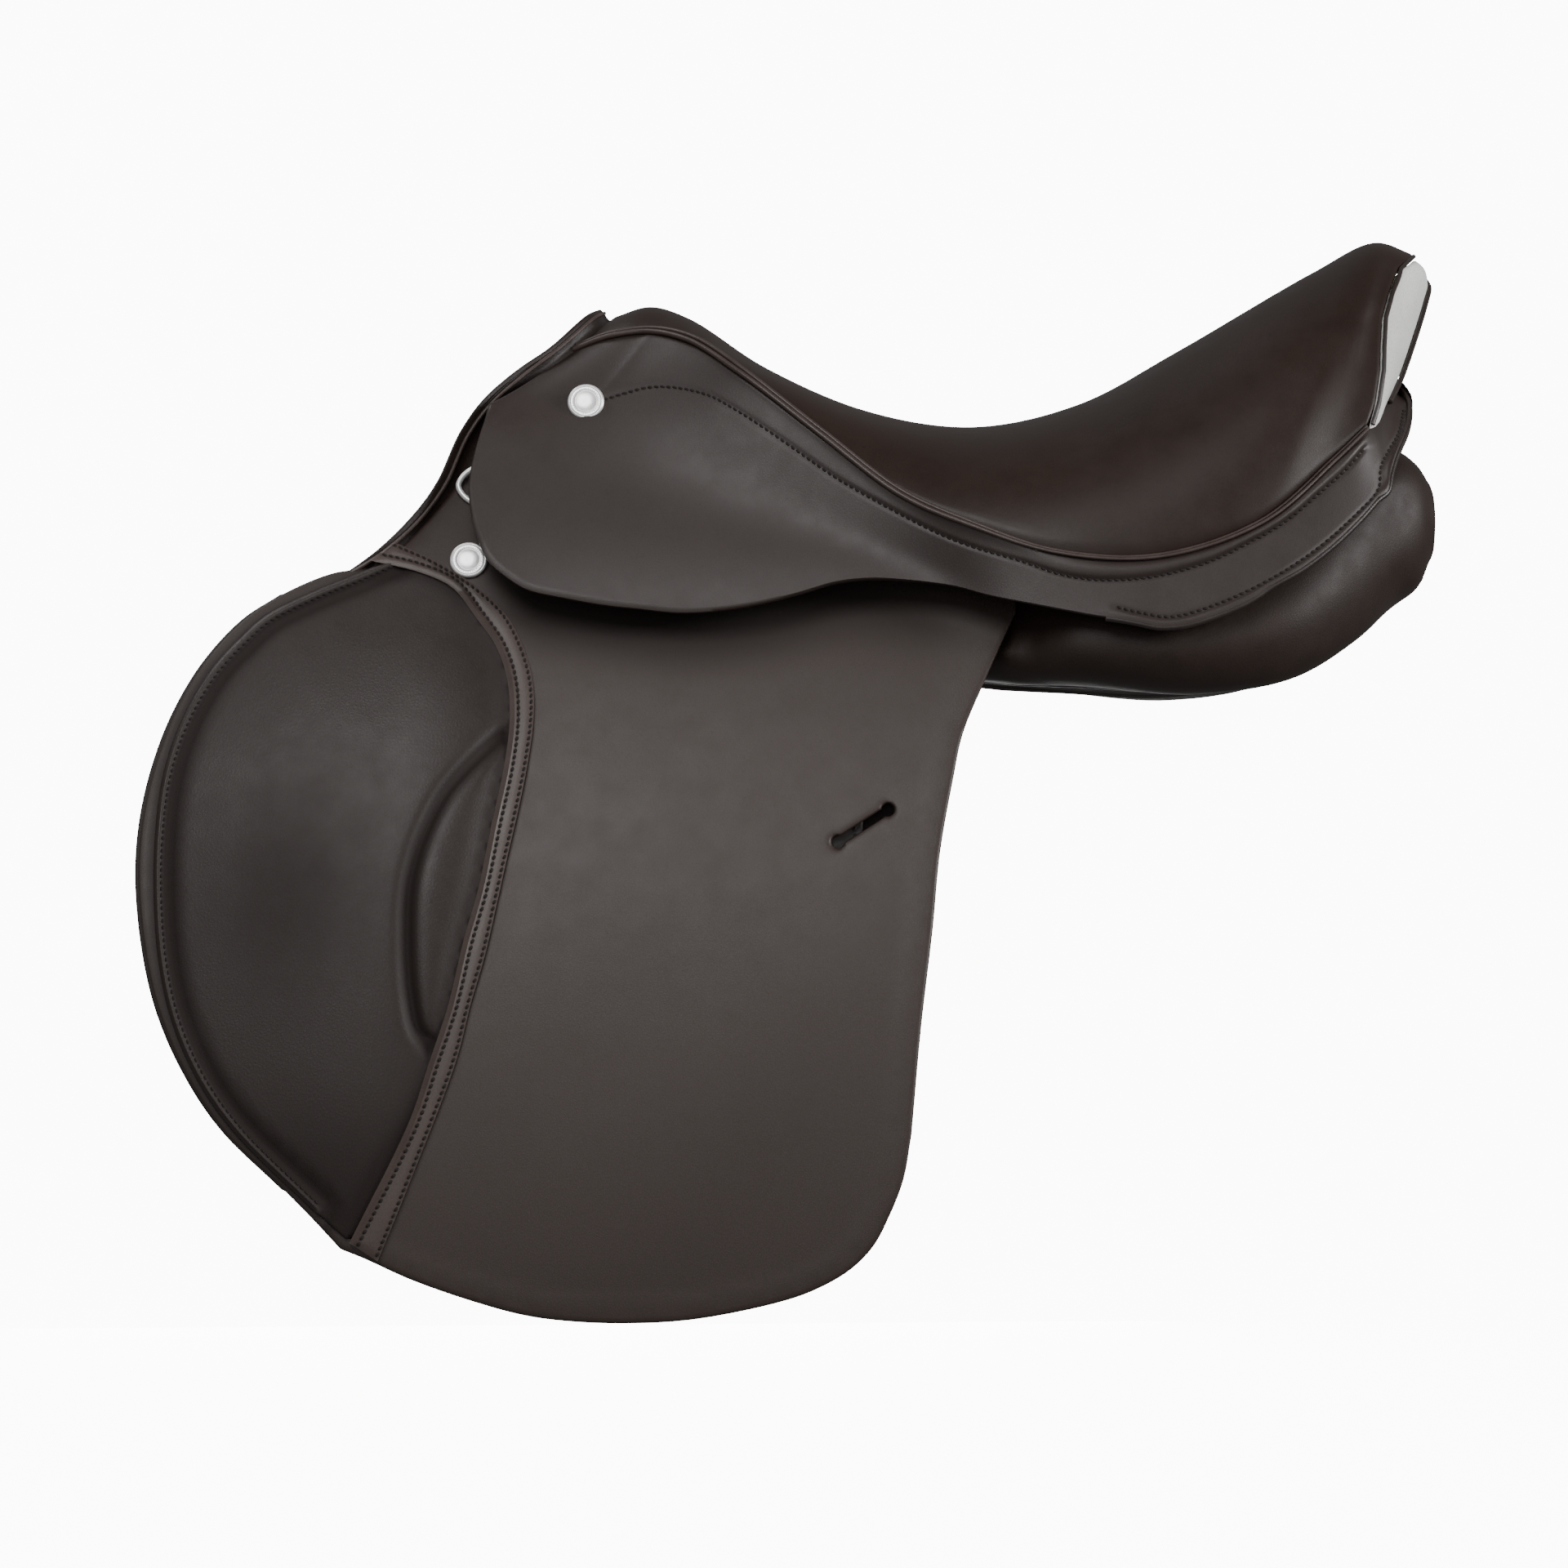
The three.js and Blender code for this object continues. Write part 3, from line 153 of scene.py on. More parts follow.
def away(points, line, closed=False):
    """Distance of plan points to a polyline."""
    p = np.asarray(points, float).reshape(-1, 2)
    a = np.asarray(line, float)
    b = np.roll(a, -1, axis=0) if closed else a[1:]
    a = a if closed else a[:-1]
    ab = b - a
    ll = np.maximum((ab**2).sum(1), 1e-9)
    out = np.empty(len(p))
    for i in range(0, len(p), 1500):
        d = p[i : i + 1500, None, :] - a[None]
        t = np.clip((d * ab).sum(2) / ll, 0, 1)
        out[i : i + 1500] = np.sqrt(((d - t[..., None] * ab) ** 2).sum(2).min(1))
    return out


def inside(points, ring):
    p = np.asarray(points, float).reshape(-1, 2)
    a = np.asarray(ring, float)
    b = np.roll(a, -1, axis=0)
    out = np.zeros(len(p), bool)
    for i in range(0, len(p), 1500):
        x, z = p[i : i + 1500, 0:1], p[i : i + 1500, 1:2]
        cross = (a[:, 1] > z) != (b[:, 1] > z)
        dz = np.where(b[:, 1] == a[:, 1], 1e-9, b[:, 1] - a[:, 1])
        hit = cross & (x < (b[:, 0] - a[:, 0]) * (z - a[:, 1]) / dz + a[:, 0])
        out[i : i + 1500] = hit.sum(1) % 2 == 1
    return out


def bell(d, w):
    return np.exp(-((d / w) ** 2))


def ramp(d, a, b):
    t = np.clip((np.asarray(d, float) - a) / (b - a), 0, 1)
    return t * t * (3 - 2 * t)


def dome(d, w):
    """Rises steeply from 0 and flattens out to 1 at w."""
    return 1 - (1 - np.clip(np.asarray(d, float) / w, 0, 1)) ** 2


# ---------------------------------------------------------------- meshes
class Skin:
    """Vertices and faces of one piece; face groups take a material each."""

    def __init__(self):
        self.v, self.f, self.m, self.n = [], [], [], 0

    def add(self, verts, faces, mat=0):
        verts = np.asarray(verts, float).reshape(-1, 3)
        self.v.append(verts)
        self.f.extend(tuple(int(i) + self.n for i in f) for f in faces)
        self.m.extend([mat] * len(faces))
        self.n += len(verts)
        return verts

    def make(self, name, body, mats, side=1.0, nodes=(), sharp=40, ride=True):
        v = np.vstack(self.v) * (MM, MM * side, MM)
        mesh = bpy.data.meshes.new(name)
        mesh.from_pydata(v.tolist(), [], self.f)
        mesh.polygons.foreach_set("material_index", self.m)
        mesh.polygons.foreach_set("use_smooth", [True] * len(self.f))
        for m in mats:
            mesh.materials.append(m)
        mesh.update()
        b = bmesh.new()
        b.from_mesh(mesh)
        bmesh.ops.recalc_face_normals(b, faces=b.faces)
        b.to_mesh(mesh)
        b.free()
        mesh.set_sharp_from_angle(angle=math.radians(sharp))
        o = bpy.data.objects.new(name, mesh)
        bpy.context.scene.collection.objects.link(o)
        if nodes:
            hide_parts(*nodes)
        if ride:
            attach(o, body)
        return o


def grid_faces(rows, cols, wrap=False):
    r, c = np.meshgrid(np.arange(rows - 1), np.arange(cols if wrap else cols - 1), indexing="ij")
    a = (r * cols + c).ravel()
    b = (r * cols + (c + 1) % cols).ravel()
    return np.stack([a, b, b + cols, a + cols], 1).tolist()


def end_fans(rows, sides):
    """Fans that close a tube's two ends on the two points that follow its rings."""
    last, tip = (rows - 1) * sides, rows * sides
    turn = [(k, (k + 1) % sides) for k in range(sides)]
    return [[a, b, tip] for a, b in turn] + [[last + a, last + b, tip + 1] for a, b in turn]


def grid_normals(g):
    du = np.gradient(g, axis=1)
    dv = np.gradient(g, axis=0)
    return unit(np.cross(du, dv))


def thick_grid(skin, g, thickness, outward, mat=0):
    """A closed leather sheet with rounded edges from its front grid."""
    n = grid_normals(g)
    if (n.reshape(-1, 3).mean(0) @ np.array(outward, float)) < 0:
        n = -n
    rows, cols = g.shape[:2]
    back = g - n * thickness
    i = np.arange(rows)[:, None]
    j = np.arange(cols)[None, :]
    edge = np.minimum(np.minimum(i, rows - 1 - i), np.minimum(j, cols - 1 - j))
    round_off = np.where(edge == 0, 0.3, 0.0)[..., None] * thickness
    front = g - n * round_off
    back = back + n * round_off
    k = rows * cols
    faces = grid_faces(rows, cols)
    flip = [[q + k for q in f[::-1]] for f in faces]
    last = (rows - 1) * cols
    ring = [*range(cols), *range(2 * cols - 1, last + cols, cols), *range(last + cols - 2, last - 1, -1),
            *range(last - cols, 0, -cols)]
    wall = [[ring[a], ring[a - 1], ring[a - 1] + k, ring[a] + k] for a in range(len(ring))]
    skin.add(np.vstack([front.reshape(-1, 3), back.reshape(-1, 3)]), faces + flip + wall, mat)
    return front.reshape(-1, 3), faces


def grid_piece(name, mat, g, thickness, outward, node_name):
    skin = Skin()
    thick_grid(skin, g, thickness, outward)
    return skin.make(name, "saddle", [mat], nodes=[node_name])


def sheet(skin, ring, front, back, cell=5.0, rim=1.2, features=(), holes=(), mat=0, edge_mat=None):
    """A piece of leather over a plan outline. front and back give y over plan points."""
    ring = np.asarray(ring, float)
    lo, hi = ring.min(0), ring.max(0)
    xs = np.arange(lo[0], hi[0], cell)
    zs = np.arange(lo[1], hi[1], cell * 0.866)
    hexes = np.array([(x + (k % 2) * cell / 2, z) for k, z in enumerate(zs) for x in xs])
    fringe = []
    normal = left_of(ring, True)
    if not inside(ring[:1] + normal[:1] * 0.5, ring)[0]:
        normal = -normal
    for d in (0.3 * rim, rim, 2.2 * rim):
        p = ring + normal * d
        fringe.append(p[inside(p, ring) & (away(p, ring, True) > 0.85 * d)])
    special = []
    for curve, offsets in features:
        side = left_of(curve)
        for o in offsets:
            p = curve + side * o
            special.append(p[inside(p, ring) & (away(p, ring, True) > 2.6 * rim)])
    fixed = np.vstack([*fringe, *special, *holes])
    hexes = hexes[inside(hexes, ring)]
    hexes = hexes[away(hexes, ring, True) > 2.2 * rim + cell * 0.4]
    tree = KDTree(len(fixed))
    for k, p in enumerate(fixed):
        tree.insert((p[0], p[1], 0), k)
    tree.balance()
    hexes = np.array([p for p in hexes if tree.find((p[0], p[1], 0))[2] > cell * 0.5]).reshape(-1, 2)
    loose = np.vstack(fringe + special)
    for h in holes:
        loose = loose[~inside(loose, h) & (away(loose, h, True) > 5.5)]
        hexes = hexes[~inside(hexes, h) & (away(hexes, h, True) > 6.5)]
        out_h = left_of(h, True)
        for k, d in enumerate((0.3 * rim, 0.65 * rim, rim, 2.2, 3.3, 4.6)):
            for sign in (-1, 1):
                p = (h + out_h * d * sign)[:: 1 + (k > 3)]
                loose = np.vstack([loose, p[~inside(p, h) & (away(p, h, True) > 0.9 * d)]])
    edges, start = [], 0
    for outline in (ring, *holes):
        n = len(outline)
        edges += [(start + k, start + (k + 1) % n) for k in range(n)]
        start += n
    pts = np.vstack([ring, *holes, loose, hexes])
    out = geometry.delaunay_2d_cdt([Vector(p) for p in pts], edges, [], 0, 1e-5)
    co = np.array([tuple(v) for v in out[0]], float)
    tris = np.array([f for f in out[2] if len(f) == 3])
    mid = co[tris].mean(1)
    keep = inside(mid, ring)
    for h in holes:
        keep &= ~inside(mid, h)
    tris = tris[keep]
    d = away(co, ring, True)
    for h in holes:
        d = np.minimum(d, away(co, h, True))
    drop = np.where(d < rim, rim - np.sqrt(np.maximum(0, rim**2 - (rim - d) ** 2)), 0)
    yf = front(co) - drop
    yb = back(co) + drop * 0.7
    n = len(co)
    top = np.stack([co[:, 0], yf, co[:, 1]], 1)
    low = np.stack([co[:, 0], yb, co[:, 1]], 1)
    count = {}
    for t in tris:
        for a, b in ((t[0], t[1]), (t[1], t[2]), (t[2], t[0])):
            count[(a, b)] = count.get((a, b), 0) + 1
    rim_edges = [(a, b) for (a, b) in count if (b, a) not in count]
    skin.add(np.vstack([top, low]), tris.tolist() + (tris[:, ::-1] + n).tolist(), mat)
    base = skin.n - 2 * n
    wall = [(base + a, base + a + n, base + b + n, base + b) for a, b in rim_edges]
    skin.f.extend(tuple(int(q) for q in w) for w in wall)
    skin.m.extend([mat if edge_mat is None else edge_mat] * len(wall))
    return BVHTree.FromPolygons(top.tolist(), tris.tolist())


def drape(bvh, path):
    """Plan points laid on a surface, with the surface's outward normals."""
    pts, nrm = [], []
    for x, z in path:
        hit = bvh.ray_cast(Vector((x, 500, z)), Vector((0, -1, 0)))
        if hit[0] is None:
            continue
        n = hit[1] if hit[1].y > 0 else -hit[1]
        pts.append(hit[0])
        nrm.append(n)
    return np.array(pts, float).reshape(-1, 3), np.array(nrm, float).reshape(-1, 3)


def tube(skin, path, radius, sides=10, mat=0, closed=False, flat=1.0, up=None):
    """A round cord, welt or wire along a path."""
    p = np.asarray(path, float)
    if closed:
        t = unit(np.roll(p, -1, axis=0) - np.roll(p, 1, axis=0))
    else:
        t = unit(np.gradient(p, axis=0))
    if up is None:
        ref = vec(0.0, 0.0, 1.0) if abs(t[0][2]) < 0.9 else vec(0.0, 1.0, 0.0)
        ups = []
        for k in t:
            ref = unit(ref - k * (ref @ k))
            ups.append(ref)
        up = np.array(ups)
    else:
        up = unit(np.asarray(up, float) - t * (np.asarray(up, float) * t).sum(1, keepdims=True))
    side = np.cross(t, up)
    a = np.linspace(0, 2 * np.pi, sides, endpoint=False)
    r = np.broadcast_to(np.asarray(radius, float), len(p))[:, None, None]
    ring = p[:, None] + r * (np.cos(a)[:, None] * side[:, None] + flat * np.sin(a)[:, None] * up[:, None])
    rows = len(p)
    faces = grid_faces(rows, sides, wrap=True)
    v = ring.reshape(-1, 3)
    if closed:
        last = (rows - 1) * sides
        faces += [[last + k, last + (k + 1) % sides, (k + 1) % sides, k] for k in range(sides)]
    else:
        v = np.vstack([v, p[0] - t[0] * r[0, 0] * 0.5, p[-1] + t[-1] * r[-1, 0] * 0.5])
        faces += end_fans(rows, sides)
    skin.add(v, faces, mat)


def stitch_form():
    """One stitch, 1 long, 1 wide, lying along x, as rings of points."""
    rows = [(-0.5, 0.0, -0.5), (-0.38, 0.72, 0.05), (0.0, 1.0, 0.34), (0.38, 0.72, 0.05), (0.5, 0.0, -0.5)]
    v, f = [(rows[0][0], 0, rows[0][2])], []
    for x, r, lift in rows[1:-1]:
        for k in range(6):
            a = k * math.pi / 3
            v.append((x, 0.5 * r * math.cos(a), 0.5 * r * math.sin(a) + lift))
    v.append((rows[-1][0], 0, rows[-1][2]))
    for k in range(6):
        j = (k + 1) % 6
        f += [(0, 1 + k, 1 + j), (1 + k, 7 + k, 7 + j, 1 + j),
              (7 + k, 13 + k, 13 + j, 7 + j), (13 + k, 19, 13 + j)]
    return np.array(v, float), f


STITCH, STITCH_FACES = stitch_form()


def sew(skin, pts, nrm, mat, pitch=3.4, length=3.0, width=1.45, slant=0.24, lift=0.12):
    """A row of stitches along points on a surface."""
    if len(pts) < 3:
        return
    d = np.r_[0, np.cumsum(np.linalg.norm(np.diff(pts, axis=0), axis=1))]
    n = int(d[-1] / pitch)
    s = (np.arange(n) + 0.5) * d[-1] / max(n, 1)
    p = np.stack([np.interp(s, d, pts[:, k]) for k in range(3)], 1)
    q = np.stack([np.interp(s + 0.5, d, pts[:, k]) for k in range(3)], 1)
    o = np.stack([np.interp(s - 0.5, d, pts[:, k]) for k in range(3)], 1)
    up = unit(np.stack([np.interp(s, d, nrm[:, k]) for k in range(3)], 1))
    t = unit(q - o)
    b = np.cross(up, t)
    t2 = unit(t + slant * b)
    b2 = np.cross(up, t2)
    v = (p[:, None] + STITCH[None, :, 0:1] * length * t2[:, None] + STITCH[None, :, 1:2] * width * b2[:, None]
         + (STITCH[None, :, 2:3] * width * 0.6 + lift) * up[:, None])
    m = len(STITCH)
    faces = [tuple(i * m + a for a in f) for i in range(n) for f in STITCH_FACES]
    skin.add(v.reshape(-1, 3), faces, mat)


def sew_on(skin, bvh, path, mat, **kw):
    pts, nrm = drape(bvh, even(path, 1.5))
    if len(pts) > 6:
        for _ in range(3):
            nrm[1:-1] = unit(nrm[:-2] + 2 * nrm[1:-1] + nrm[2:])
    sew(skin, pts, nrm, mat, **kw)


def swell(obj, pressure, cap, frames=20):
    """Inflates a closed cushion with a cloth simulation, and keeps the swelling under cap (metres)."""
    before = np.array([v.co for v in obj.data.vertices])
    cloth = obj.modifiers.new("cloth", "CLOTH")
    settings = {"quality": 4, "mass": 0.3, "use_pressure": True, "uniform_pressure_force": pressure,
                "tension_stiffness": 60, "compression_stiffness": 60, "bending_stiffness": 4}
    for key, value in settings.items():
        setattr(cloth.settings, key, value)
    cloth.settings.effector_weights.gravity = 0
    cloth.point_cache.frame_start = 1
    cloth.point_cache.frame_end = frames
    scene = bpy.context.scene
    for k in range(1, frames + 1):
        scene.frame_set(k)
    swollen = obj.evaluated_get(bpy.context.evaluated_depsgraph_get())
    after = np.array([v.co for v in swollen.data.vertices])
    obj.modifiers.remove(cloth)
    scene.frame_set(1)
    if after.shape != before.shape or not np.isfinite(after).all():
        return
    move = after - before
    size = np.linalg.norm(move, axis=1, keepdims=True)
    move *= np.minimum(1, cap / np.maximum(size, 1e-9))
    for v, co in zip(obj.data.vertices, before + move):
        v.co = co


# ---------------------------------------------------------------- materials
class Graph:
    """The node tree of one material."""

    def __init__(self, name):
        self.material = bpy.data.materials.new(name)
        self.material.use_nodes = True
        self.tree = self.material.node_tree
        self.tree.nodes.clear()

    def add(self, kind, inputs=(), **settings):
        """A node. Each input takes a constant, or the socket that feeds it."""
        n = self.tree.nodes.new("ShaderNode" + kind)
        for key, value in settings.items():
            setattr(n, key, value)
        for key, value in dict(inputs).items():
            if isinstance(value, bpy.types.NodeSocket):
                self.tree.links.new(value, n.inputs[key])
            else:
                n.inputs[key].default_value = value
        return n

    def place(self):
        return self.add("TexCoord").outputs["Object"]

    def noise(self, place, scale, detail, rough):
        n = self.add("TexNoise", {"Vector": place, "Scale": scale, "Detail": detail, "Roughness": rough})
        return n.outputs["Fac"]

    def tones(self, share, stops):
        n = self.add("ValToRGB", {"Fac": share})
        e = n.color_ramp.elements
        e.remove(e[-1])
        e[0].position, e[0].color = stops[0]
        for pos, colour in stops[1:]:
            e.new(pos).color = colour
        return n.outputs["Color"]

    def mix(self, share, a, b, blend="MIX"):
        n = self.add("Mix", data_type="RGBA", blend_type=blend)
        return self.join(n, share, a, b, 6, 2)

    def mix_value(self, share, a, b):
        return self.join(self.add("Mix", data_type="FLOAT"), share, a, b, 2, 0)

    def join(self, n, share, a, b, first, out):
        for k, value in ((0, share), (first, a), (first + 1, b)):
            if isinstance(value, bpy.types.NodeSocket):
                self.tree.links.new(value, n.inputs[k])
            else:
                n.inputs[k].default_value = value
        return n.outputs[out]

    def spread(self, value, low, high, start=0.0, stop=1.0):
        n = self.add("MapRange", {"Value": value, "From Min": start, "From Max": stop,
                                  "To Min": low, "To Max": high})
        return n.outputs["Result"]

    def finish(self, inputs, height=None, strength=0.0, distance=0.0):
        """The surface, with a bump of its own where a height is given."""
        if height is not None:
            bump = self.add("Bump", {"Height": height, "Strength": strength, "Distance": distance})
            inputs["Normal"] = bump.outputs["Normal"]
        shader = self.add("BsdfPrincipled", inputs)
        self.add("OutputMaterial", {"Surface": shader.outputs[0]})
        return self.material


def rgb(colour):
    """The linear colour of an 8-bit one."""
    return (*[((c / 255 + 0.055) / 1.055) ** 2.4 if c > 10 else c / 255 / 12.92 for c in colour], 1.0)


def grey(v):
    return (v, v, v, 1)


SHADE_TONE, SHADE_ROUGHNESS = (25, 14, 10), 0.85  # colour and roughness of painted shade: a darker tone, and a higher roughness that dims the highlight


def leather(name, base, light, dark, grain, depth, rough, wear=0.35, painted_shade=False, spec=0.5):
    """Aniline leather: cell-like grain, pores, soft mottling, edges that wear lighter and, where a point
    attribute marks it, painted shade.
    """
    base, light, dark = rgb(base), rgb(light), rgb(dark)
    g = Graph(name)
    place = g.place()
    big, mid = g.noise(place, 11.0, 4.0, 0.55), g.noise(place, 70.0, 5.0, 0.6)
    fine = g.noise(place, 900.0 * grain, 3.0, 0.6)
    cell = g.add("TexVoronoi", feature="DISTANCE_TO_EDGE")
    cell.inputs["Scale"].default_value = 720.0 * grain
    g.tree.links.new(place, cell.inputs["Vector"])
    cell = cell.outputs["Distance"]
    tone = g.tones(g.mix(0.45, big, mid), [(0.30, dark), (0.5, base), (0.72, light)])
    creases = g.tones(cell, [(0.0, (0.72, 0.70, 0.69, 1)), (0.10, grey(1))])
    colour = g.mix(0.75, tone, creases, "MULTIPLY")
    edge = g.tones(g.add("NewGeometry").outputs["Pointiness"], [(0.54, grey(0)), (0.66, grey(wear))])
    colour = g.mix(edge, colour, (*[min(1, c * 1.7) for c in light[:3]], 1))
    gloss = g.spread(mid, *rough, 0.3, 0.7)
    # Painted shade: the attribute's share turns the colour to the shade tone and raises the roughness.
    if painted_shade:
        zone = g.add("Attribute", attribute_name="painted_shade").outputs["Fac"]
        colour = g.mix(zone, colour, rgb(SHADE_TONE))
        gloss = g.mix_value(zone, gloss, SHADE_ROUGHNESS)
    surface = {"Base Color": colour, "Roughness": gloss, "Specular IOR Level": spec}
    return g.finish(surface, g.mix_value(0.4, cell, fine), depth, 0.00035)


def metal(name, colour, rough, scratch=0.08, metallic=1.0):
    g = Graph(name)
    noise = g.noise(g.place(), 260.0, 5.0, 0.7)
    tone = g.tones(noise, [(0.3, (*[c * 0.9 for c in colour], 1)), (0.7, (*colour, 1))])
    surface = {"Base Color": tone, "Roughness": g.spread(noise, rough, rough + scratch), "Metallic": metallic}
    return g.finish(surface, noise, 0.06, 0.0002)


def fibrous(name, base, light, scale, rough=0.85, weave=0.0, stretch=(1, 1, 1)):
    """Thread, webbing, foam or wood: a two-tone noise with fine fibres, or a weave."""
    g = Graph(name)
    place = g.add("Mapping", {"Vector": g.place(), "Scale": stretch}).outputs["Vector"]
    height = noise = g.noise(place, scale, 6.0, 0.65)
    tone = g.tones(noise, [(0.35, rgb(base)), (0.65, rgb(light))])
    if weave:
        wave = g.add("TexWave", {"Vector": place, "Scale": weave, "Distortion": 0.4},
                     wave_type="BANDS", bands_direction="DIAGONAL")
        height = g.mix_value(0.6, noise, wave.outputs["Fac"])
    return g.finish({"Base Color": tone, "Roughness": rough}, height, 0.5, 0.0003)


def glow(name, strength):
    return Graph(name).finish({"Base Color": grey(0.9), "Roughness": 0.9,
                               "Emission Color": grey(1), "Emission Strength": strength})


FLAP_LOOK = ((49, 37, 32), (52, 40, 35), (46, 34, 29), 1.0, 0.2, (0.46, 0.53))
FLAP = leather("flap_leather", *FLAP_LOOK)
# The flap's leather, with painted shade from its point attribute.
SHADED_FLAP = leather("flap_leather_painted_shade", *FLAP_LOOK, painted_shade=True)
SKIRT = leather("skirt_leather", (42, 31, 27), (45, 34, 30), (39, 28, 24), 1.0, 0.2, (0.46, 0.53))
STRIP = leather("strip_leather", (64, 52, 47), (72, 60, 54), (56, 44, 39), 1.0, 0.22, (0.42, 0.5))
WELTING = leather("welt_leather", (60, 48, 44), (72, 60, 55), (48, 37, 33), 1.5, 0.25, (0.36, 0.48), 0.4)
SEAT = leather("seat_leather", (37, 24, 18), (41, 27, 21), (33, 21, 16), 1.1, 0.16, (0.4, 0.48), 0.2,
               spec=0.33)
# The knee pad's leather takes painted shade from its point attribute.
PAD = leather("pad_leather", (37, 27, 23), (40, 30, 26), (34, 24, 20), 0.75, 0.42, (0.42, 0.5),
              painted_shade=True, spec=0.42)
PANEL = leather("panel_leather", (39, 27, 22), (44, 31, 26), (34, 23, 18), 0.9, 0.3, (0.5, 0.6), spec=0.33)
# The strap leather's dark tone is partly its own colour and partly painted shade, so that what shows through
# the flap's slot reads as shade.
STRAP = leather("strap_leather", (26, 18, 15), (31, 22, 19), (21, 14, 12), 1.0, 0.35, (0.6, 0.75))
LINING = leather("lining_leather", (38, 28, 24), (46, 35, 30), (31, 22, 18), 1.2, 0.4, (0.6, 0.75))
EDGE = leather("edge_leather", (34, 24, 21), (44, 33, 29), (26, 18, 15), 1.6, 0.3, (0.35, 0.5), 0.6)
WHITE = leather("white_leather", (238, 238, 235), (244, 244, 242), (228, 227, 222), 0.9, 0.25, (0.35, 0.45),
                0.0)
THREAD = fibrous("thread", (16, 9, 7), (26, 17, 14), 2600.0)
CHROME = metal("bright_metal", (0.93, 0.93, 0.92), 0.24, 0.1, 0.5)
STEEL = metal("steel", (0.52, 0.53, 0.55), 0.28)
SPRING = metal("spring_steel", (0.30, 0.31, 0.33), 0.35)
WOOD = fibrous("tree_wood", (176, 132, 84), (204, 163, 112), 60.0, 0.6, stretch=(1, 8, 8))
WEBBING = fibrous("webbing", (176, 168, 148), (208, 200, 182), 700.0, 0.9, 90.0)
FOAM = fibrous("foam", (205, 196, 168), (226, 219, 196), 900.0, 0.95)

# ---------------------------------------------------------------- outlines of the flap (x, z)
FRONT_STRETCH = [(-308, 50), (-324, 47.5), (-348, 37), (-367, 24), (-386, 2), (-400, -24), (-409, -51),
                 (-414, -78), (-415, -105), (-411, -140), (-403, -172), (-389, -203), (-370, -231),
                 (-339, -261)]
FRONT_LAP = 3
FRONT_RISE = [(-208, 140), (-219, 142), (-243, 121), (-258, 95), (-275, 73), (-291, 57), (-301, 50)]
BOTTOM = [(-307, -290), (-297, -294), (-275, -304), (-247, -314), (-218, -322), (-195, -325), (-166, -326),
          (-134, -324), (-94, -316), (-76, -310), (-58, -300), (-46, -288), (-38, -273), (-31, -255),
          (-27, -233)]
REAR = [(-27, -233), (-22, -180), (-16, -132), (-12, -94), (-5, -57), (0, -35), (11, -9), (28, 27)]
FLAP_RING = loop(
    even([(28, 27), (28, 50), (-196, 126), (-208, 140)], 4),
    smooth(FRONT_RISE),
    smooth([(x + FRONT_LAP, z) for x, z in FRONT_STRETCH]),
    smooth([(-336, -261), (-323, -274), (-309, -289)]),
    smooth(BOTTOM),
    smooth(REAR),
)
SWEAT_RING = loop(
    even([(5, 18), (-288, 32), (-318, 42), (-348, 37)], 4),
    smooth(FRONT_STRETCH[2:]),
    smooth([(-339, -261), (-300, -278), (-250, -296), (-166, -306), (-100, -298), (-62, -270), (-48, -228)]),
    smooth([(-48, -228), (-34, -130), (-14, -40), (5, 18)]),
)
PAD_FRONT = [(-291, 55), (-304, 49), (-330, 38), (-353, 26), (-366, 14), (-379, -1), (-388, -16),
             (-395, -32), (-400, -49), (-403, -68), (-404, -105), (-400, -149), (-392, -180), (-378, -209),
             (-360, -233), (-322, -270)]
PAD_EDGE = [(-303, -284), (-272, -227), (-252, -169), (-238, -112), (-226, -49), (-223, -26), (-226, -3),
            (-241, 24), (-261, 42), (-290, 56)]
STRIP_LEFT = [(-301, 54), (-276, 48), (-259, 40), (-246, 24), (-236, 10), (-230, -6), (-228, -26),
              (-230, -49), (-236, -80), (-242, -112), (-249, -138), (-256, -169), (-265, -197), (-275, -227),
              (-304, -286)]
STRIP_RIGHT = [(-290, -295), (-275, -258), (-252, -197), (-245, -169), (-238, -144), (-233, -121),
               (-228, -97), (-222, -69), (-218, -46), (-216, -26), (-217, -8), (-222, 9), (-232, 27),
               (-250, 43), (-268, 54), (-290, 64)]
CREASE = [(-232, -36), (-239, -42), (-249, -52), (-259, -64), (-267, -79), (-273, -95), (-276.5, -112),
          (-277, -140), (-275, -165), (-271, -182), (-264, -190)]
SLOT_ENDS = np.array([(-63.0, -89.0), (-38.0, -73.0)])


def slot_ring():
    """The stirrup-leather keeper: two round ends joined by a narrow cut."""
    a, b = SLOT_ENDS
    along = unit(b - a)
    across = np.array([-along[1], along[0]])
    r, w = 3.3, 2.0
    phi = math.asin(w / r)

    def cap(centre, start, stop):
        t = np.linspace(start, stop, 20)[:, None]
        return centre + r * (np.cos(t) * along + np.sin(t) * across)

    ends = [cap(b, math.pi - phi, phi - math.pi), cap(a, -phi, phi - 2 * math.pi)]
    pts = np.vstack([*ends, ends[0][:1]])
    return even(pts, 1.1)[:-1]


SLOT = slot_ring()
crease_line = smooth(CREASE, 1.6)
strip_left, strip_right = smooth(STRIP_LEFT, 2), smooth(STRIP_RIGHT, 2)
pad_front = smooth(PAD_FRONT, 2)
PAD_RING = loop(pad_front, even([(-322, -270), (-306, -284)], 2), smooth(PAD_EDGE, 2))
STRIP_RING = loop(strip_left, even([strip_left[-1], strip_right[0]], 2), strip_right)


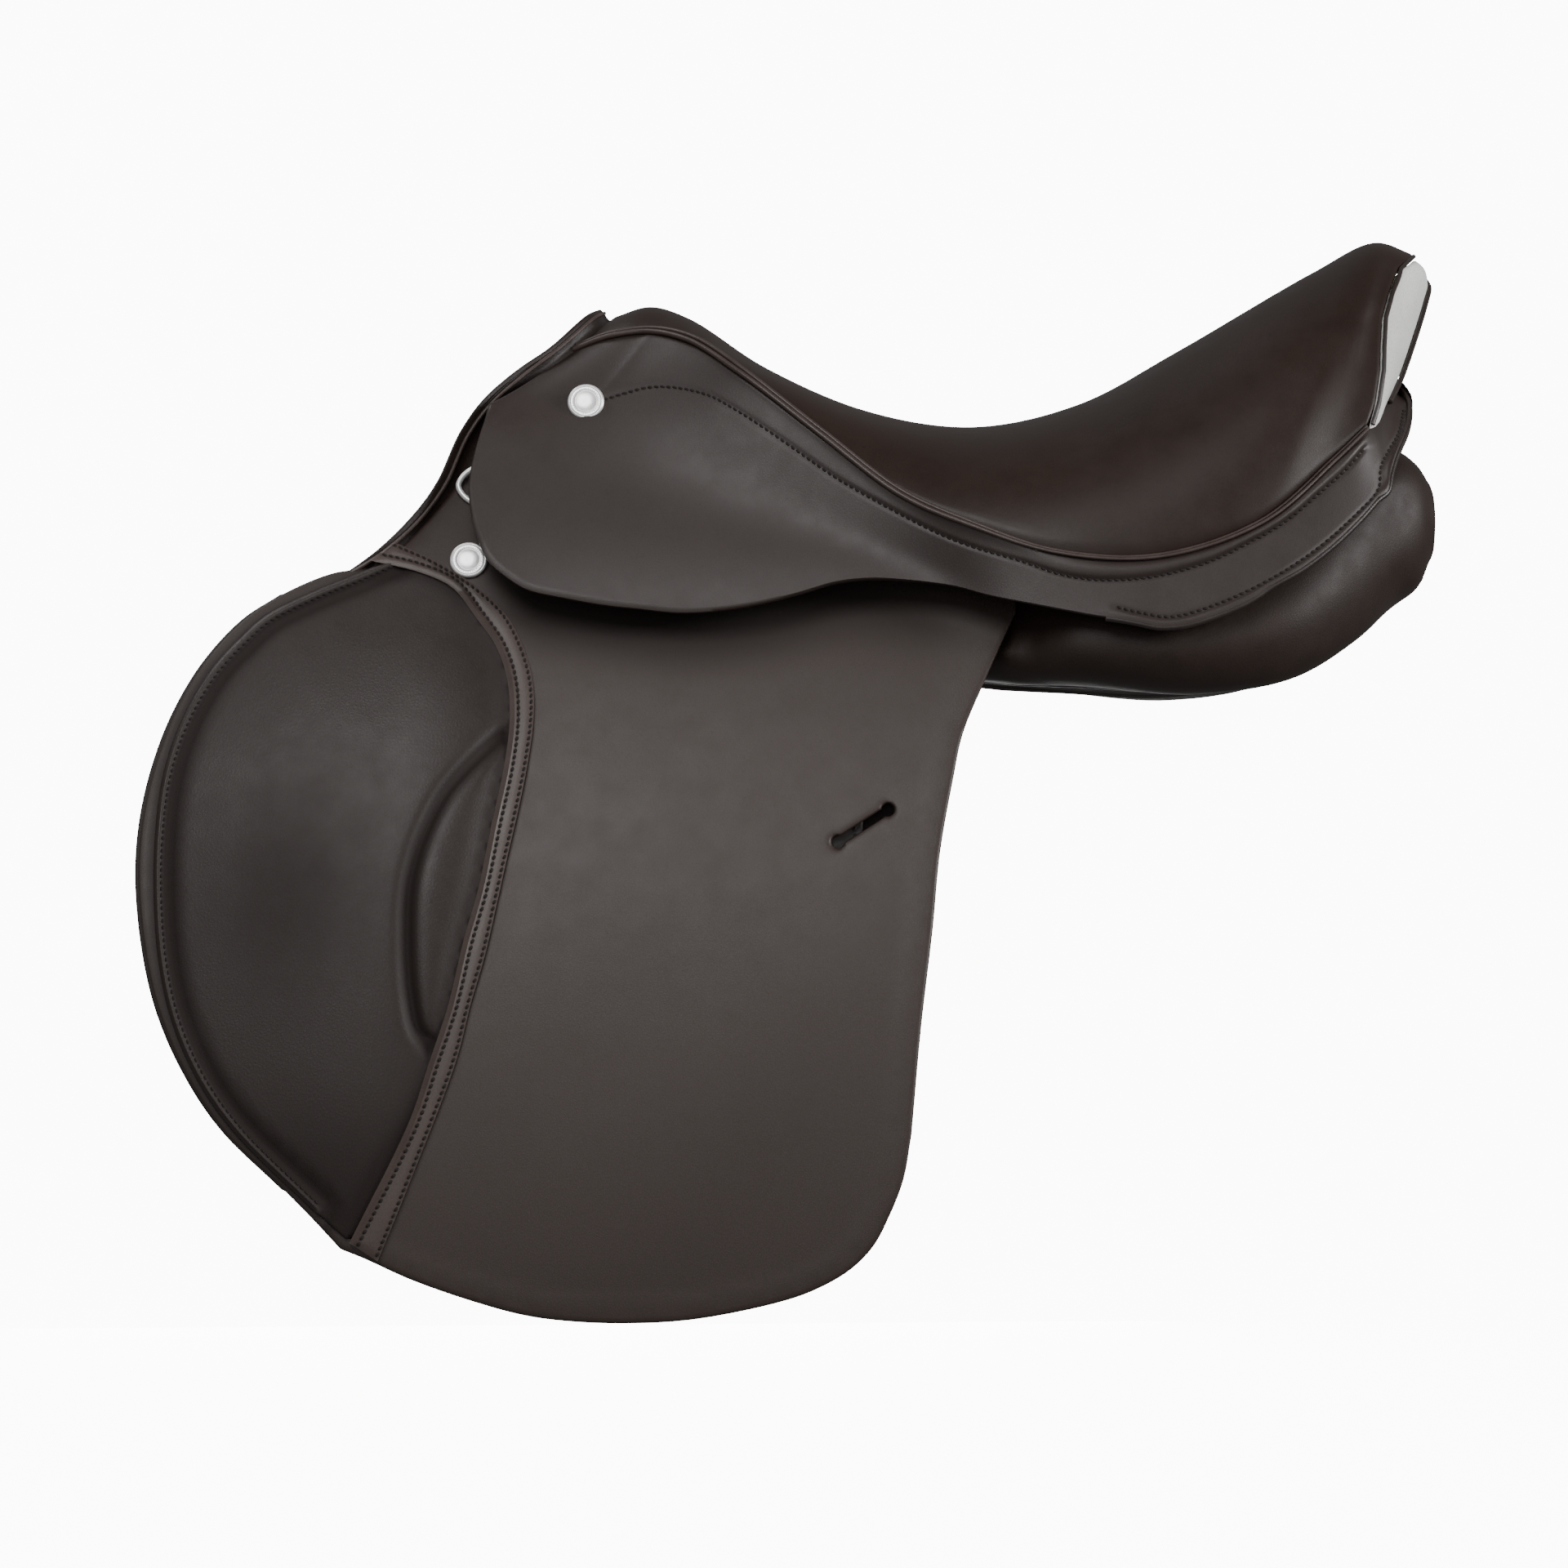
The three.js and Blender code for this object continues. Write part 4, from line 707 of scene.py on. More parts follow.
def ease(p):
    """Slow, shallow undulation of hanging leather."""
    x, z = p[:, 0], p[:, 1]
    return 0.55 * np.sin(x / 41.0 + 1.3) * np.sin(z / 57.0) + 0.35 * np.sin(x / 23.0 - z / 31.0)


def flap_front(p):
    y = flap_face(p[:, 1]) + ease(p) * 0.5
    y -= 3.2 * bell(p[:, 1] - 34, 22) * ramp(p[:, 0], -235, -205) * ramp(-p[:, 0], -20, 20)
    y += 0.5 * bell(away(p, FLAP_RING, True) - 7.5, 3.0)
    return y - 0.6 * bell(away(p, SLOT, True), 2.2)


def flap_back(p):
    return flap_front(p) - FLAP_LEATHER


def pad_crown(p):
    """The pad's height over the flap: stitched ridge, valley, broad crown, and a groove before the block."""
    d_front = away(p, pad_front)
    d_strip = away(p, strip_left)
    d_crease = away(p, crease_line)
    ridge = 1.9 * bell(d_front - 2.4, 1.9) - 1.3 * bell(d_front - 8.0, 3.0)
    rise = 9.2 * dome(d_front - 7.0, 84.0) * (0.04 + 0.96 * dome(d_strip, 46.0))
    behind = (strip_left[:, 1] < CREASE[0][1]) & (strip_left[:, 1] > CREASE[-1][1])
    lens = inside(p, np.vstack([crease_line, strip_left[behind][::-1]]))
    groove = 3.4 * bell(d_crease, 3.6)
    block = np.where(lens, 2.0 * dome(d_crease - 1, 12) * dome(d_strip - 1, 14), 0)
    low = 1.0 - 0.45 * ramp(-p[:, 1], 60, 230)
    body = rise * low + block - groove * ramp(d_front, 10, 40)
    return 1.5 + ridge + np.maximum(body, -0.9)


def pad_front_y(p):
    return flap_face(p[:, 1]) + GAP + pad_crown(p)


def off_face(d):
    """A surface at a distance from the flap's face."""
    return lambda p: flap_face(p[:, 1]) + d


def strip_front_y(p):
    y = flap_face(p[:, 1]) + GAP + 3.4
    y += 0.9 * bell(away(p, strip_left) - 2.0, 2.0)
    y -= 0.55 * bell(away(p, ROW_ONE), 1.1) + 0.5 * bell(away(p, ROW_TWO), 1.0)
    return y


def fold_points(line, face, above, below, side):
    """Start above a fold line and end below it, square to the line and in the face."""
    (x0, z0), (x1, z1) = line
    a = np.array([x0, float(face(z0)), z0])
    b = np.array([x1, float(face(z1)), z1])
    along = unit(b - a)
    mid = (a + b) / 2
    lean = float(face(mid[2] + 5) - face(mid[2] - 5)) / 10
    normal = unit(np.array([0, 1, -lean]))
    down = unit(np.cross(along, normal))
    if down[2] > 0:
        down = -down
    start, end = mid - down * above, mid + down * below
    return [Vector(q * (MM, side * MM, MM)) for q in (start, end)]


FLAP_FOLD = ((-305, 43), (25, -13))
SKIRT_FOLD = ((-241, 137), (-20, 50))


# ---------------------------------------------------------------- flap, pad, strip
def paint_flap_shade(obj):
    """Painted shade on the flap: a painted shadow below the skirt's edge, fading towards the rear, and painted
    shade in the valley along the flap's front edge beside the knee pad.
    """
    co = np.array([v.co for v in obj.data.vertices])[:, [0, 2]] / MM
    line = smooth(SKIRT_LOWER, 3)
    edge_z = np.interp(co[:, 0], line[20:, 0], line[20:, 1])
    # Painted shadow below the skirt's lower edge.
    shade = 1 - ramp(edge_z - co[:, 1], 6, 40)
    shade *= ramp(co[:, 0], -262, -215) * (1 - 0.75 * ramp(co[:, 0], -60, 20))
    front = away(co, pad_front)
    # Painted shade in the valley along the front edge, next to the knee pad.
    rim = (0.7 * bell(front - 11, 4.5) + 0.6 * bell(front, 3.0)) * (co[:, 0] < -290)
    shade = np.maximum(shade, rim)
    mark(obj, np.clip(shade, 0, 1))


def mark(obj, shade):
    # Stores a share of painted shade as a point attribute, which the leather reads.
    a = obj.data.attributes.new("painted_shade", "FLOAT", "POINT")
    a.data.foreach_set("value", np.asarray(shade, np.float32))


def paint_pad_shade(obj):
    """Painted shade on the knee pad: in its recesses, in a patch in the middle of its lower half, and darker
    towards the bottom.
    """
    p = np.array([v.co for v in obj.data.vertices])[:, [0, 2]] / MM
    d_front, d_strip, d_crease = away(p, pad_front), away(p, strip_left), away(p, crease_line)
    pad_middle_shade = 0.55 * bell((p[:, 0] + 340) / 48, 1) * bell((p[:, 1] + 118) / 62, 1)
    low = 0.75 * ramp(-p[:, 1], 190, 265)
    recess = 0.8 * bell(d_front - 9, 4.5) + 0.65 * bell(d_strip, 7) + 0.75 * bell(d_crease, 4.5)
    rim = 0.5 * bell(d_front - 5.5, 1.6)
    mark(obj, np.clip(pad_middle_shade + low + recess + rim, 0, 1) * ramp(d_front, 1.5, 4))


def side_leathers(name, s):
    fold = fold_points(FLAP_FOLD, flap_face, 5, 13, s)
    body = f"flap_{name}"

    skin = Skin()
    rows = [(pad_front, (-4, 0)), (smooth(REAR, 3), (-3, -6)), (smooth(BOTTOM, 3), (-5, -9))]
    sheet(skin, FLAP_RING, flap_front, flap_back, 5.5, 1.5, rows, [SLOT], 0, 1)
    flap = skin.make(f"flap_leather_{name}", body, [SHADED_FLAP, EDGE], s,
                     [f"flap_{name}", f"flap_top_{name}"], 50, ride=False)
    paint_flap_shade(flap)
    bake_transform(flap)

    skin = Skin()
    rows = [(crease_line, (-9, -6, -4, -2.4, -1.2, 0, 1.2, 2.4, 4, 6, 9))]
    for side in (1, -1):  # only the points that fall inside the outline are kept
        rows += [(pad_front, [side * d for d in (0.8, 1.6, 2.6, 4, 5.5, 7.5, 10)]),
                 (strip_left, [-side * d for d in (3, 6, 9)])]
    bvh = sheet(skin, PAD_RING, pad_front_y, off_face(0.15), 4.2, 0.9, rows, (), 0, 1)
    sew_on(skin, bvh, shifted(pad_front, PAD_RING, 4.0), 2, pitch=3.3, length=2.5, width=1.0, lift=0.35)
    pad = skin.make(f"knee_pad_cover_{name}", body, [PAD, EDGE, THREAD], s,
                    [f"knee_pad_{name}"], 60, ride=False)
    paint_pad_shade(pad)
    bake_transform(pad)

    skin = Skin()
    rows = [(strip_left, (0.8, 1.6, 2.6, 3.8, 5, 6.2, -0.8, -1.6, -2.6, -3.8, -5, -6.2)),
            (strip_right, (1, 2, 3, -1, -2, -3))]
    bvh = sheet(skin, STRIP_RING, strip_front_y, off_face(0.2), 4.0, 0.8, rows, (), 0, 1)
    sew_on(skin, bvh, ROW_ONE, 2, slant=0.34)
    sew_on(skin, bvh, ROW_TWO, 2, slant=0.34)
    strip = skin.make(f"knee_strip_leather_{name}", body, [STRIP, EDGE, THREAD], s,
                      [f"knee_strip_{name}"], 50, ride=False)
    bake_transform(strip)


def shifted(line, ring, d):
    """A line moved by d towards the inside of a ring."""
    a, b = line + left_of(line) * d, line - left_of(line) * d
    return a if inside(a, ring).sum() > inside(b, ring).sum() else b


ROW_ONE = shifted(strip_left, STRIP_RING, 4.4)
ROW_TWO = shifted(strip_right, STRIP_RING, 1.4)

# ---------------------------------------------------------------- skirt with its rear band
WELT = [(-199, 31, 168), (-181, 39, 174), (-160, 46, 176), (-138, 64, 170), (-111, 88, 151), (-71, 105, 119),
        (-30, 121, 87), (5, 134, 71), (48, 142, 57), (99, 140, 55), (152, 128, 73), (190, 111, 105),
        (208, 104, 122)]
SKIRT_LOWER = [(-241, 137), (-247, 119), (-251, 99), (-251, 87), (-248, 72), (-240, 54), (-230, 45),
               (-220, 39), (-203, 35), (-181, 31), (-163, 29), (-143, 27), (-123, 28), (-104, 31), (-84, 36),
               (-64, 42), (-47, 44), (-26, 43), (-4, 40), (14, 35), (39, 30), (65, 25), (84, 22), (98, 19)]
BAND_LOWER = [(98, 19), (108, 19.5), (116, 21), (142, 31), (156, 40), (172, 49), (188, 61), (203, 75),
              (213, 86)]
REAR_LOWER = [(213, 86), (218, 89), (220, 98), (224, 109), (231, 123), (234, 136), (233, 142), (230, 148),
              (226, 151)]
ROW_UPPER = [(-184, 138.5), (-157, 145), (-132, 141), (-115, 132), (-90, 115), (-65, 97), (-40, 82),
             (-12, 67), (5, 60), (31, 52), (48, 46), (65, 43), (82, 43), (99, 45), (124, 52), (147, 63),
             (164, 73), (180, 86), (197, 101), (206, 111)]
ROW_LOWER = [(77, 29), (90, 26), (104, 24), (124, 29), (155, 43), (180, 59), (201, 77), (213, 90),
             (215, 102), (220, 111), (226, 120), (231, 134)]
SKIRT_COLS, SKIRT_ROWS = 300, 84


def skirt_grid():
    welt = through(WELT)
    rear_top = through([(208, 104, 122), (214, 88, 130), (221, 70, 139), (226, 45, 148), (228, 14, 152)])
    top = np.vstack([welt(np.linspace(0, 1, 500)), rear_top(np.linspace(0, 1, 80))[1:]])
    top = even(top, 1.0)
    top[:, 1] += 0.6
    top[:, 2] -= 1.2
    low = np.vstack([smooth(SKIRT_LOWER, 1.0), smooth(BAND_LOWER, 1.0)[1:]])
    rear = smooth(REAR_LOWER, 1.0)
    # Columns pair points of the two edges: the front, the long side, then round behind the cantle.
    u = np.linspace(0, 1, SKIRT_COLS)
    d = np.r_[0, np.cumsum(np.linalg.norm(np.diff(top, axis=0), axis=1))]
    edge = np.vstack([low, rear[1:]])
    e = np.r_[0, np.cumsum(np.linalg.norm(np.diff(edge, axis=0), axis=1))]

    def at_x(line, dist, x):
        k = np.argmin(np.abs(line[:, 0] - x))
        return dist[k]

    keys_top = [0, at_x(top[:300], d, -160), *[at_x(top, d, x) for x in (-111, -30, 48, 99, 152, 208)], d[-1]]
    corner = np.linalg.norm(np.diff(low, axis=0), axis=1).sum()
    keys_low = [0, at_x(edge[:150], e, -247) + 60, *[at_x(edge, e, x) for x in (-163, -47, 39, 98, 150)],
                corner, e[-1]]
    keys_u = [0, 0.14, 0.26, 0.45, 0.59, 0.69, 0.79, 0.91, 1.0]
    a = np.interp(u, keys_u, keys_top)
    b = np.interp(u, keys_u, keys_low)
    tp = np.stack([np.interp(a, d, top[:, k]) for k in range(3)], 1)
    ep = np.stack([np.interp(b, e, edge[:, k]) for k in range(2)], 1)
    v = np.linspace(0, 1, SKIRT_ROWS)[:, None]
    x = tp[:, 0] + (ep[:, 0] - tp[:, 0]) * v
    z = tp[:, 2] + (ep[:, 1] - tp[:, 2]) * v
    (fx, fz), (rx, rz) = SKIRT_FOLD
    fold_z = fz + (x - fx) * (rz - fz) / (rx - fx)
    # Half-widths of the long lower edge behind the fold.
    band_y = [(-20, 124), (14, 141), (62, 149), (110, 149), (156, 139), (188, 126), (212, 112)]
    band_y = through(band_y)(np.linspace(0, 1, 200))
    edge_y = np.interp(ep[:, 0], band_y[:, 0], band_y[:, 1])
    behind = b > corner
    rear_y = np.interp((b - corner) / max(e[-1] - corner, 1), [0, 0.12, 0.45, 0.8, 1], [112, 108, 92, 62, 34])
    edge_y = np.where(behind, rear_y, edge_y)
    straight = tp[:, 1] + (edge_y - tp[:, 1]) * v
    # Ahead of the band the leather drops to the fold and follows the skirt's face below it.
    below = fold_z - z
    share = np.clip((tp[:, 2] - z) / np.maximum(tp[:, 2] - np.minimum(fold_z, tp[:, 2] - 1), 1), 0, 1)
    at_fold = skirt_face(fold_z)
    falling = np.where(below > 0, skirt_face(z), tp[:, 1] + (at_fold - tp[:, 1]) * share)
    mix = ramp(x, -45, 25)
    y = falling * (1 - mix) + straight * mix
    relax(y, 150)
    relax(y.T, 40)
    return np.stack([x, y, z], 2)


def skirt(name, s):
    g = skirt_grid()
    flat = g[:, :, [0, 2]].reshape(-1, 2)
    upper, lower = smooth(ROW_UPPER, 1.5), smooth(ROW_LOWER, 1.5)
    du = away(flat, upper).reshape(g.shape[:2])
    dl = away(flat, lower).reshape(g.shape[:2])
    n = grid_normals(g)
    n *= np.sign(n.reshape(-1, 3).mean(0)[1])
    top_gap = np.linalg.norm(g - g[0][None], axis=2)
    edge_gap = np.linalg.norm(g - g[-1][None], axis=2)
    lift = -0.55 * bell(du, 1.3) - 0.5 * bell(dl, 1.3)
    rear = ramp(g[:, :, 0], 20, 70)
    row_at = np.argmin(du, axis=0)[None, :]
    across = np.arange(g.shape[0])[:, None] / np.maximum(row_at, 1)
    near = blur((du.min(0) < 3).astype(float), 4)[None, :]
    lift += rear * near * 1.7 * np.sin(np.pi * np.clip(across, 0, 1))
    lift += 0.5 * bell(edge_gap - 2.4, 1.8) * ramp(g[:, :, 0], 60, 90)
    lift += 1.4 * bell(top_gap, 3.0) * (1 - rear) * 0.4
    g2 = g + n * lift[..., None]
    skin = Skin()
    pts, faces = thick_grid(skin, g2, SKIRT_LEATHER, (0, 1, 0), 0)
    bvh = BVHTree.FromPolygons(pts.tolist(), faces)
    sew_on(skin, bvh, upper, 1, pitch=3.4)
    sew_on(skin, bvh, lower, 1, pitch=3.4)
    # A thin bound edge along the rear band.
    at = [k for k in range(g2.shape[1]) if g2[-1, k, 0] > 70]
    bound = even(g2[-1, at], 1.5)
    relax(bound, 4)
    tube(skin, bound + np.array([0.2, -1.5, -0.5]), 1.6, 10, 2)
    o = skin.make(f"skirt_leather_{name}", f"skirt_{name}", [SKIRT, THREAD, EDGE], s,
                  [f"skirt_{name}", f"skirt_band_{name}"], 50, ride=False)
    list(fold_points(SKIRT_FOLD, skirt_face, 5, 15, s))
    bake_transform(o)


def welts(name, s):
    w = through(WELT)(np.linspace(0, 1, 420))
    w = even(w, 1.5)
    out = unit(np.gradient(w, axis=0))
    side = unit(np.cross(out, vec(0.0, 0.0, 1.0)))
    side *= np.sign(side[:, 1:2])
    fade = ramp(np.arange(len(w)) / len(w), 0.45, 0.62)[:, None]
    skin = Skin()
    first = w + side * 1.6 + vec(0, 0.4, -0.4)
    second = w - side * (1.2 - 0.6 * fade) + vec(0, 0.6, 1.6) * (1 - fade * 0.5)
    tube(skin, first, 1.5 - 0.6 * fade[:, 0], 10, 0)
    tube(skin, second, 1.25 - 0.45 * fade[:, 0], 10, 0)
    skin.make(f"seat_welt_{name}", "saddle", [WELTING], s, [f"welt_{name}"])


# ---------------------------------------------------------------- seat
CAD_TOP = [(-179, 0, 187), (-160, 0, 192), (-139, 0, 185), (-97, 0, 157), (-47, 0, 136), (10, 0, 128),
           (65, 0, 140), (117, 0, 168), (189, 0, 210), (222, 0, 226), (242, 0, 220)]
ROLL, RIM_ROLL, ROLLOVER = math.radians(74), math.radians(60), 0.85
# How far the seat dips ahead of the cantle's rim, by the share of the way down to the welt.
CANTLE_HOLLOW = [0, 0.1, 0.245, 0.388, 0.55, 0.68, 0.86, 1], [0, 7.6, 9.7, 9.8, 6.3, 2.9, 0.2, 0]


def seat_point(t, a_share, sink):
    """The seat's surface: t from pommel to cantle, share from -1 to 1 across."""
    top, edge = through(CAD_TOP)(t), through(WELT)(t)
    roll = ROLL + (RIM_ROLL - ROLL) * np.maximum(0, (t - ROLLOVER) / (1 - ROLLOVER))
    a = np.abs(a_share) * roll
    across = np.sin(a) / np.sin(roll)
    drop = (1 - np.cos(a)) / (1 - np.cos(roll))
    hollow = np.interp(drop, *CANTLE_HOLLOW)
    return np.stack([top[..., 0] + (edge[..., 0] - top[..., 0]) * drop - hollow * ramp(t, 0.86, 1.0),
                     np.sign(a_share) * (edge[..., 1] - sink) * across,
                     top[..., 2] + (edge[..., 2] - top[..., 2]) * drop - sink], -1)


def seat():
    t, s = np.meshgrid(np.linspace(0, 1, 150), np.linspace(-1, 1, 97), indexing="ij")
    g = seat_point(t, s, 0)
    tuck = ramp(np.abs(s), 0.972, 1.0)
    n = grid_normals(g)
    if n[75, 48, 2] < 0:
        n = -n
    g = g - n * (tuck * 1.6)[..., None]
    puff = 0.9 * np.sin(np.pi * np.abs(s)) * np.sin(np.pi * t)
    g = g + n * puff[..., None]
    grid_piece("seat_leather_cover", SEAT, g, 2.0, (0, 0, 1), "seat_cover")
    inner = seat_point(t[4:-5, 2:-2], s[4:-5, 2:-2], 3.0)
    grid_piece("seat_foam_layer", FOAM, inner, 14.0, (0, 0, 1), "seat_foam")


# ---------------------------------------------------------------- pommel facing
FACING_OUTER = [(-188, 0, 192), (-195, 20, 187), (-213, 38, 169), (-231, 48, 156), (-247, 57, 141),
                (-258, 66, 124), (-269, 82, 97), (-281, 92, 79), (-298, 101, 61), (-312, 103, 50),
                (-322, 104, 43)]
FACING_INNER = [(-187, 0, 150), (-193, 16, 146), (-212, 30, 128), (-226, 36, 116), (-240, 46, 98),
                (-252, 54, 82), (-264, 66, 60), (-274, 78, 53), (-290, 92, 48), (-308, 100, 44),
                (-320, 102, 41.5)]
FACING_REAR = [(-178, 0, 182), (-181, 22, 176), (-197, 37, 162), (-216, 46, 143), (-231, 52, 128),
               (-243, 60, 112), (-254, 76, 86), (-266, 88, 69), (-284, 98, 55), (-304, 102, 46),
               (-319, 103, 41)]


def both_sides(points, n):
    half = through(points)(np.linspace(0, 1, n))
    return np.vstack([half[:0:-1] * (1, -1, 1), half])


def facing():
    n = 90
    o, i, r = (both_sides(p, n) for p in (FACING_OUTER, FACING_INNER, FACING_REAR))
    sgn = np.sign(o[:, 1:2])
    wide = np.minimum(1, np.linalg.norm(i - o, axis=1, keepdims=True) / 28)
    lip = o + (r - o) * 0.10 + wide * (vec(-0.6, 0, 0) + sgn * vec(0, 1.0, 0))
    valley = o + (r - o) * 0.5 + wide * (sgn * vec(0, -2.2, 0) + vec(0, 0, -1.0))
    lower = o + (i - o) * 0.16 + wide * vec(-2.2, 0, 0)
    mid = o + (i - o) * 0.5 + wide * vec(-4.5, 0, 0)
    profile = np.stack([r, valley, o + (r - o) * 0.24 + sgn * vec(0, 0.4, 0), lip, lower, mid, i], 0)
    g = np.stack([through(profile[:, k])(np.linspace(0, 1, 34)) for k in range(profile.shape[1])], 1)
    skin = Skin()
    thick_grid(skin, g, 2.4, (-1, 0, 0), 0)
    # The lighter rolled rim just behind the front edge.
    rim = o + (r - o) * 0.30 + sgn * vec(0, 1.3, 0)
    tube(skin, rim[3:-3], 1.0, 8, 1)
    tube(skin, i[3:-3] + vec(0.8, 0, 0), 1.2, 8, 1)
    skin.make("pommel_facing_roll", "saddle", [PAD, WELTING], 1.0, ["pommel_facing"])


# ---------------------------------------------------------------- cantle
INLAY_OUTER = [(249, 0, 207), (250, 5, 203), (247, 14, 193), (239, 32, 172), (231, 48, 153), (222, 72, 138),
               (213, 96, 124)]
BACK_OUTER = [(251, 0, 199), (247, 13, 189), (239, 30, 169), (233, 42, 156)]
BACK_LOWER = [(228, 0, 152), (228, 13, 152), (228, 28, 151), (227, 42, 150)]


def cantle():
    n = 70
    outer = both_sides(INLAY_OUTER, n)
    share = np.linspace(-1, 1, len(outer)) * 0.985
    rim = seat_point(np.ones(len(outer)), share, 0)
    inner = rim + vec(0.9, 0, -3.0)
    v = np.linspace(0, 1, 16)[:, None, None]
    g = inner[None] + (outer - inner)[None] * v
    g = g + vec(2.4, 0, 0.6) * np.sin(np.pi * v)
    grid_piece("cantle_inlay_leather", WHITE, g, 2.5, (1, 0, 0), "cantle_inlay")
    skin = Skin()
    crown = ramp(0.4 - np.abs(share), 0, 0.2)[:, None]  # 1 over the top of the cantle
    tube(skin, rim + vec(1.9, 0, -0.9) + crown * vec(-1.2, 0, -0.4), 1.2, 8, 0)
    skin.make("cantle_piping", "saddle", [EDGE], 1.0)
    skin = Skin()
    a, b = both_sides(BACK_OUTER, 40), both_sides(BACK_LOWER, 40)
    v = np.linspace(0, 1, 14)[:, None, None]
    g = a[None] + (b - a)[None] * v + vec(1.6, 0, 0) * np.sin(np.pi * v)
    thick_grid(skin, g, 2.5, (1, 0, 0), 0)
    tube(skin, outer[12:-12] + vec(0.6, 0, -1.2), 1.5, 8, 1)
    skin.make("cantle_back_leather", "saddle", [FLAP, EDGE], 1.0, ["cantle_back"])


# ---------------------------------------------------------------- panels
PANEL_RINGS = [
    (-238, [(42, 92), (57, 74), (84, 34), (102, -6), (94, -18), (72, 8), (50, 46), (36, 80)]),
    (-205, [(34, 104), (54, 82), (97, 22), (134, -56), (122, -68), (86, -26), (54, 28), (28, 84)]),
    (-120, [(34, 90), (56, 72), (97, 20), (130, -50), (118, -60), (82, -20), (52, 24), (30, 70)]),
    (-60, [(38, 68), (64, 56), (101, 16), (120, -28), (110, -36), (78, -12), (52, 16), (34, 46)]),
    (0, [(38, 58), (66, 53), (96, 22), (108, 2), (102, -10), (80, -10), (54, 4), (34, 28)]),
    (32, [(38, 57), (74, 56), (105, 28), (120, 4), (112, -10), (84, -9), (54, 5), (34, 29)]),
    (60, [(38, 56), (80, 58), (122, 34), (136, 8), (124, -9), (88, -8), (54, 6), (34, 30)]),
    (120, [(38, 60), (80, 62), (122, 38), (136, 10), (122, -12), (86, -10), (54, 4), (34, 30)]),
    (170, [(38, 76), (74, 78), (110, 58), (124, 24), (112, -4), (82, 0), (54, 14), (34, 42)]),
    (205, [(34, 92), (62, 96), (92, 82), (102, 48), (92, 16), (72, 18), (50, 30), (32, 60)]),
    (226, [(32, 108), (48, 114), (72, 103), (84, 74), (75, 37), (58, 32), (42, 44), (30, 76)]),
    (239, [(35, 101), (47, 107), (66, 98), (75, 74), (67, 46), (54, 42), (42, 53), (32, 78)]),
    (246, [(38, 93), (47, 97), (60, 90), (66, 75), (60, 59), (51, 56), (43, 62), (36, 78)]),
]


PANEL_SIDES, PANEL_STATIONS, PANEL_SEAM = 56, 110, 0.66
PANEL_PRESSURE, PANEL_SWELL = 3.0, 0.0045


def closed_smooth(ring, n):
    p = np.array(ring, float)
    q = np.vstack([p[-2:], p, p[:2]])
    curve = through(q)
    t0, t1 = 2 / (len(q) - 1), (len(p) + 2) / (len(q) - 1)
    pts = curve(np.linspace(t0, t1, 300))
    return even(pts, np.linalg.norm(np.diff(pts, axis=0), axis=1).sum() / n)[:n]


def panel(name, s):
    sides, stations = PANEL_SIDES, PANEL_STATIONS
    rings = np.stack([np.column_stack([np.full(sides, x), closed_smooth(r, sides)]) for x, r in PANEL_RINGS])
    stack = np.stack([through(rings[:, k])(np.linspace(0, 1, stations)) for k in range(sides)], 1)
    cap_a, cap_b = stack[0].mean(0), stack[-1].mean(0)
    closes = []
    for ring, centre, shift in ((stack[0], cap_a, -3.0), (stack[-1], cap_b, 2.6)):
        part = [centre + (ring - centre) * f + vec(shift * g, 0, 0)
                for f, g in ((0.25, 1.0), (0.55, 0.9), (0.8, 0.66), (0.94, 0.3))]
        closes.append(np.stack(part))
    full = np.concatenate([closes[0], stack, closes[1][::-1]])
    v = full.reshape(-1, 3)
    rows = len(full)
    faces = grid_faces(rows, sides, wrap=True) + end_fans(rows, sides)
    v = np.vstack([v, cap_a + (-3.0, 0, 0), cap_b + (2.6, 0, 0)])
    skin = Skin()
    skin.add(v, faces, 0)
    o = skin.make(f"panel_cushion_{name}", "saddle", [PANEL], s, [f"panel_{name}"], 80)
    swell(o, PANEL_PRESSURE, PANEL_SWELL)
    # The welt where the panel's outer leather meets its underside.
    under = int(sides * PANEL_SEAM)
    seam = stack[4:-6, under]
    out = unit(seam - stack[4:-6].mean(1))
    skin = Skin()
    tube(skin, seam + out * 0.9, 1.3, 8, 0)
    skin.make(f"panel_welt_{name}", "saddle", [EDGE], s)


# ---------------------------------------------------------------- under pieces
GUARD_OUT = -FLAP_LEATHER - PLY
BILLET_OUT = GUARD_OUT - LINING_LEATHER - PLY
SWEAT_OUT = BILLET_OUT - LINING_LEATHER - PLY


def rounded(x0, x1, z0, z1, r, step=2.5):
    pts = []
    for cx, cz, q in ((x1 - r, z1 - r, 0), (x0 + r, z1 - r, 1), (x0 + r, z0 + r, 2), (x1 - r, z0 + r, 3)):
        for a in np.linspace(q, q + 1, 9) * math.pi / 2:
            pts.append((cx + r * math.cos(a), cz + r * math.sin(a)))
    pts.append(pts[0])
    return even(pts, step)[:-1]


def seam_loop(ring, d):
    side = left_of(ring, True)
    p = ring + side * d
    if not inside(p[:1], ring)[0]:
        p = ring - side * d
    p = p[away(p, ring, True) > 0.9 * d]
    return np.vstack([p, p[:1]])


BILLET_FRONT, BILLET_PITCH, BILLET_WIDTH = -160, 38, 25
BILLET_TOP, BILLET_END = 2, -286
HOLES, HOLE_PITCH, HOLE_RADIUS, FIRST_HOLE = 4, 25, 2, 30
GUARD_WIDTH, GUARD_TOP, GUARD_END = 118, -40, -102


